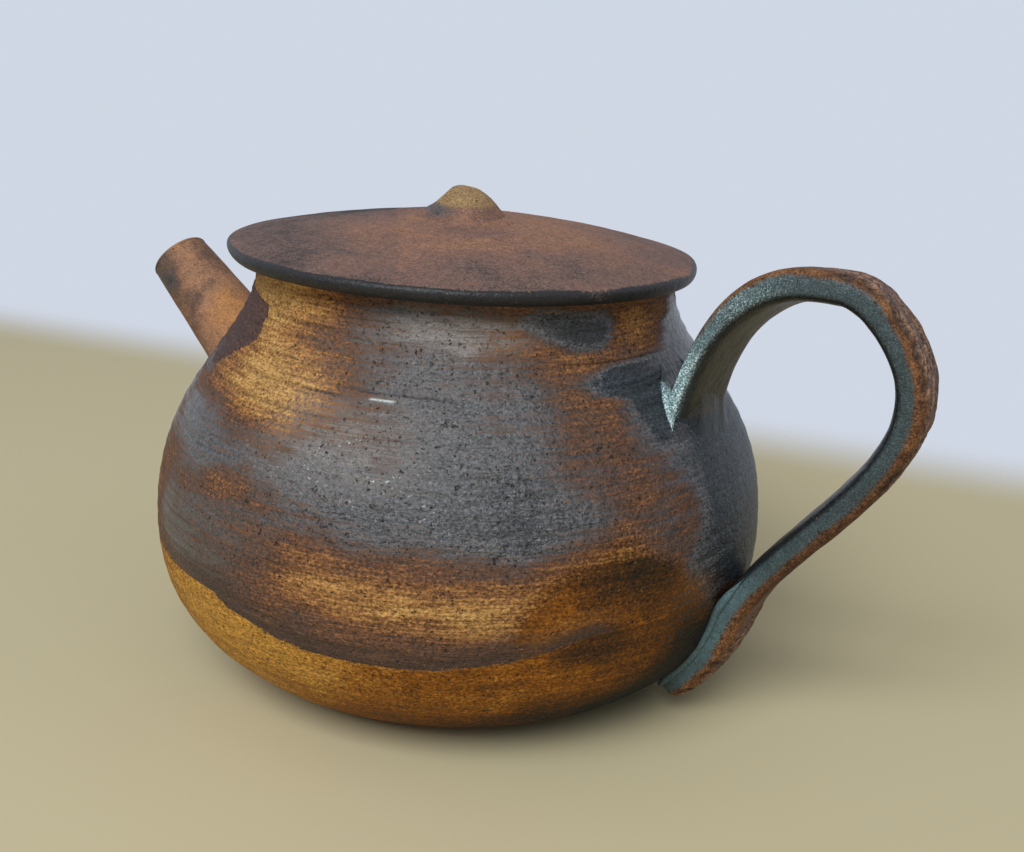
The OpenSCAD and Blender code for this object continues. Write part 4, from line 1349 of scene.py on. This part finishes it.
def make_flange(material):
    inner, low, bevel = flange_r - FLANGE_T, POT_H - FLANGE_H, FLANGE_T / 3
    line = resample(np.vstack([
        [[inner, POT_H + FLANGE_IN]], arc([inner + bevel, low + bevel], bevel, 180, 270, 6),
        arc([flange_r - bevel, low + bevel], bevel, 270, 360, 6), [[flange_r, POT_H + FLANGE_IN]]]), 0.6)
    points, turn = lathe(line, FLANGE_COLUMNS)
    rings = 0.08 * np.sin(2 * math.pi * line[:, 1][:, None] / 2.6 + turn)
    points = shift_out(points, turn, profile_normals(line), rings - 0.08)
    shape = points.shape[:2]
    return make(
        "lid_ring", tilt(points, fade=False), ring_faces(*shape), material, "lid", ["lid_flange"],
        {"hidden": np.ones(shape), "smoke": np.full(shape, LID_START)})


# The knob sits a little left of the axis, and its skirt runs out this far past its radius
KNOB_SHIFT, KNOB_SKIRT = -0.9, 5.0
KNOB_SIDES, KNOB_RINGS = 120, 70


def make_knob(material):
    """A mound pinched up off the lid: a long hollow flank on one side, a short round one on the other."""
    turn = np.linspace(0, 2 * math.pi, KNOB_SIDES, endpoint=False)
    reach = KNOB_R + KNOB_SKIRT
    r = np.linspace(0.03, reach, KNOB_RINGS)[:, None]
    x, y = r * np.cos(turn), r * np.sin(turn)
    right = smooth((x * TILT_ALONG[0] + y * TILT_ALONG[1]) / r, -0.85, 0.8)
    high = KNOB_H - BOSS_H
    hollow = curve([0, high], [5.4, high + 0.5], [4.6, 1.5], [reach - 0.6, 0])
    full = curve([0, high], [4.8, high - 0.5], [6.6, 3.8], [KNOB_R + 0.6, 0])
    mound = (1 - right) * np.interp(r, *hollow.T) + right * np.interp(r, *full.T)
    boss = BOSS_H * smooth(r, BOSS_R, BOSS_R * 0.5)
    z = crown_z(r) + mound + boss - 0.1 - 0.5 * smooth(r, KNOB_R, reach)
    points = np.stack([x + KNOB_SHIFT * TILT_ALONG[0], y + KNOB_SHIFT * TILT_ALONG[1], z], axis=-1)
    points[..., 2] += 0.16 * (rough(points, 3.2, 4.4, 3) - 0.3) * smooth(r, reach, KNOB_R - 1)
    base = points[-1].copy()
    base[:, 2] = lid_top - KNOB_IN
    points = np.concatenate([points, base[None]])[::-1]
    return make(
        "lid_knob", tilt(points, fade=False), tube_faces(len(points), KNOB_SIDES), material, "lid", ["knob"],
        sharp=60)


# The stage: a pale floor, a soft window above the front and a weak fill

# The floor fades far from the pot, and sooner behind it: the direction of that side, and where each fade
# starts and ends. All in metres
FLOOR_R, FLOOR_SIDES, FLOOR_FADE = 1.6, 96, (0.45, 1.5)
FLOOR_BACK, BACK_FADE = (-0.136, 0.991, 0.0), (0.175, 0.245)


def add_floor():
    """A pale floor that fades into the background."""
    tree = Tree(bpy.data.materials.new("pale_floor"))
    uneven = tree.noise(tree.place, 3, 2, 0.5)
    colour = tree.mix(uneven, srgb(196, 184, 146), srgb(203, 191, 156))
    surface = tree.add("ShaderNodeBsdfPrincipled", {"Base Color": colour, "Roughness": 0.75})
    clear = tree.add("ShaderNodeBsdfTransparent")
    behind = tree.remap(tree.dot(tree.place, FLOOR_BACK), *BACK_FADE)
    fade = tree.math("MAXIMUM", tree.remap(tree.length(tree.place), *FLOOR_FADE), behind)
    mix = tree.add("ShaderNodeMixShader", {0: fade, 1: surface.outputs[0], 2: clear.outputs[0]})
    turn = np.linspace(0, 2 * math.pi, FLOOR_SIDES, endpoint=False)
    ring = np.column_stack([np.cos(turn), np.sin(turn), np.zeros(FLOOR_SIDES)])
    mesh = new_mesh("floor", FLOOR_R / MM * ring, [list(range(FLOOR_SIDES))])
    mesh.materials.append(tree.finish(mix))
    new_object("floor", mesh)


def add_world():
    """Soft light from all round, and a pale wall where the camera or a mirror image looks past the pot."""
    world = bpy.data.worlds.new("studio")
    bpy.context.scene.world = world
    tree = Tree(world)
    light = tree.add("ShaderNodeBackground", {0: (0.90, 0.94, 1.0, 1.0), 1: 0.30})
    wall = tree.add("ShaderNodeBackground", {0: srgb(208, 215, 228), 1: 1.0})
    path = tree.add("ShaderNodeLightPath").outputs
    seen = tree.most(path["Is Camera Ray"], path["Is Glossy Ray"])
    seen = tree.most(seen, path["Is Transmission Ray"])
    mix = tree.add("ShaderNodeMixShader", {0: seen, 1: light.outputs[0], 2: wall.outputs[0]})
    tree.finish(mix, "ShaderNodeOutputWorld")


LAMP_TARGET = (0.0, 0.0, 0.05)


def add_lamp(name, azimuth, elevation, distance, size, power, colour):
    lamp = bpy.data.lights.new(name, "AREA")
    lamp.shape, lamp.size, lamp.size_y, lamp.energy, lamp.color = "RECTANGLE", size[0], size[1], power, colour
    holder = new_object(name, lamp)
    turn, lift = math.radians(azimuth), math.radians(elevation)
    ahead = Vector((math.cos(turn) * math.cos(lift), math.sin(turn) * math.cos(lift), math.sin(lift)))
    holder.location = Vector(LAMP_TARGET) + ahead * distance
    holder.rotation_euler = (-ahead).to_track_quat("-Z", "Y").to_euler()


def add_camera():
    camera = bpy.data.cameras.new("camera")
    camera.sensor_width, camera.lens = SENSOR, SENSOR * FOCAL_SHARE
    camera.clip_start = 0.01
    holder = new_object("camera", camera)
    ahead = Vector(CAMERA_AHEAD).normalized()
    right = ahead.cross(Vector((0, 0, 1))).normalized()
    up = right.cross(ahead)
    roll = math.radians(CAMERA_ROLL)
    side = right * math.cos(roll) + up * math.sin(roll)
    up = up * math.cos(roll) - right * math.sin(roll)
    turn = Matrix((side, up, -ahead)).transposed().to_4x4()
    holder.matrix_world = Matrix.Translation(Vector(CAMERA_AT) * MM) @ turn
    bpy.context.scene.camera = holder


add_camera()
add_floor()
add_world()
add_lamp("window", -80, 45, 1.5, (1.1, 0.7), 20.0, (0.95, 0.98, 1.0))
add_lamp("fill", 20, 35, 1.5, (0.9, 0.9), 1.0, (1.0, 0.95, 0.9))

slate = slate_material()
lid_clay = lid_material()
strap = Strap()
make_pot(pot_material())
make_spout(spout_material())
make_handle(strap, slate)
make_root_coil(strap, slate)
make_ridge("root_ridge_near", 1, slate)
make_ridge("root_ridge_far", -1, slate)
make_tail_coil(strap, slate)
make_lid(lid_clay)
make_flange(lid_clay)
make_knob(knob_material())

bpy.context.scene.view_settings.view_transform = "Standard"
bpy.context.view_layer.update()
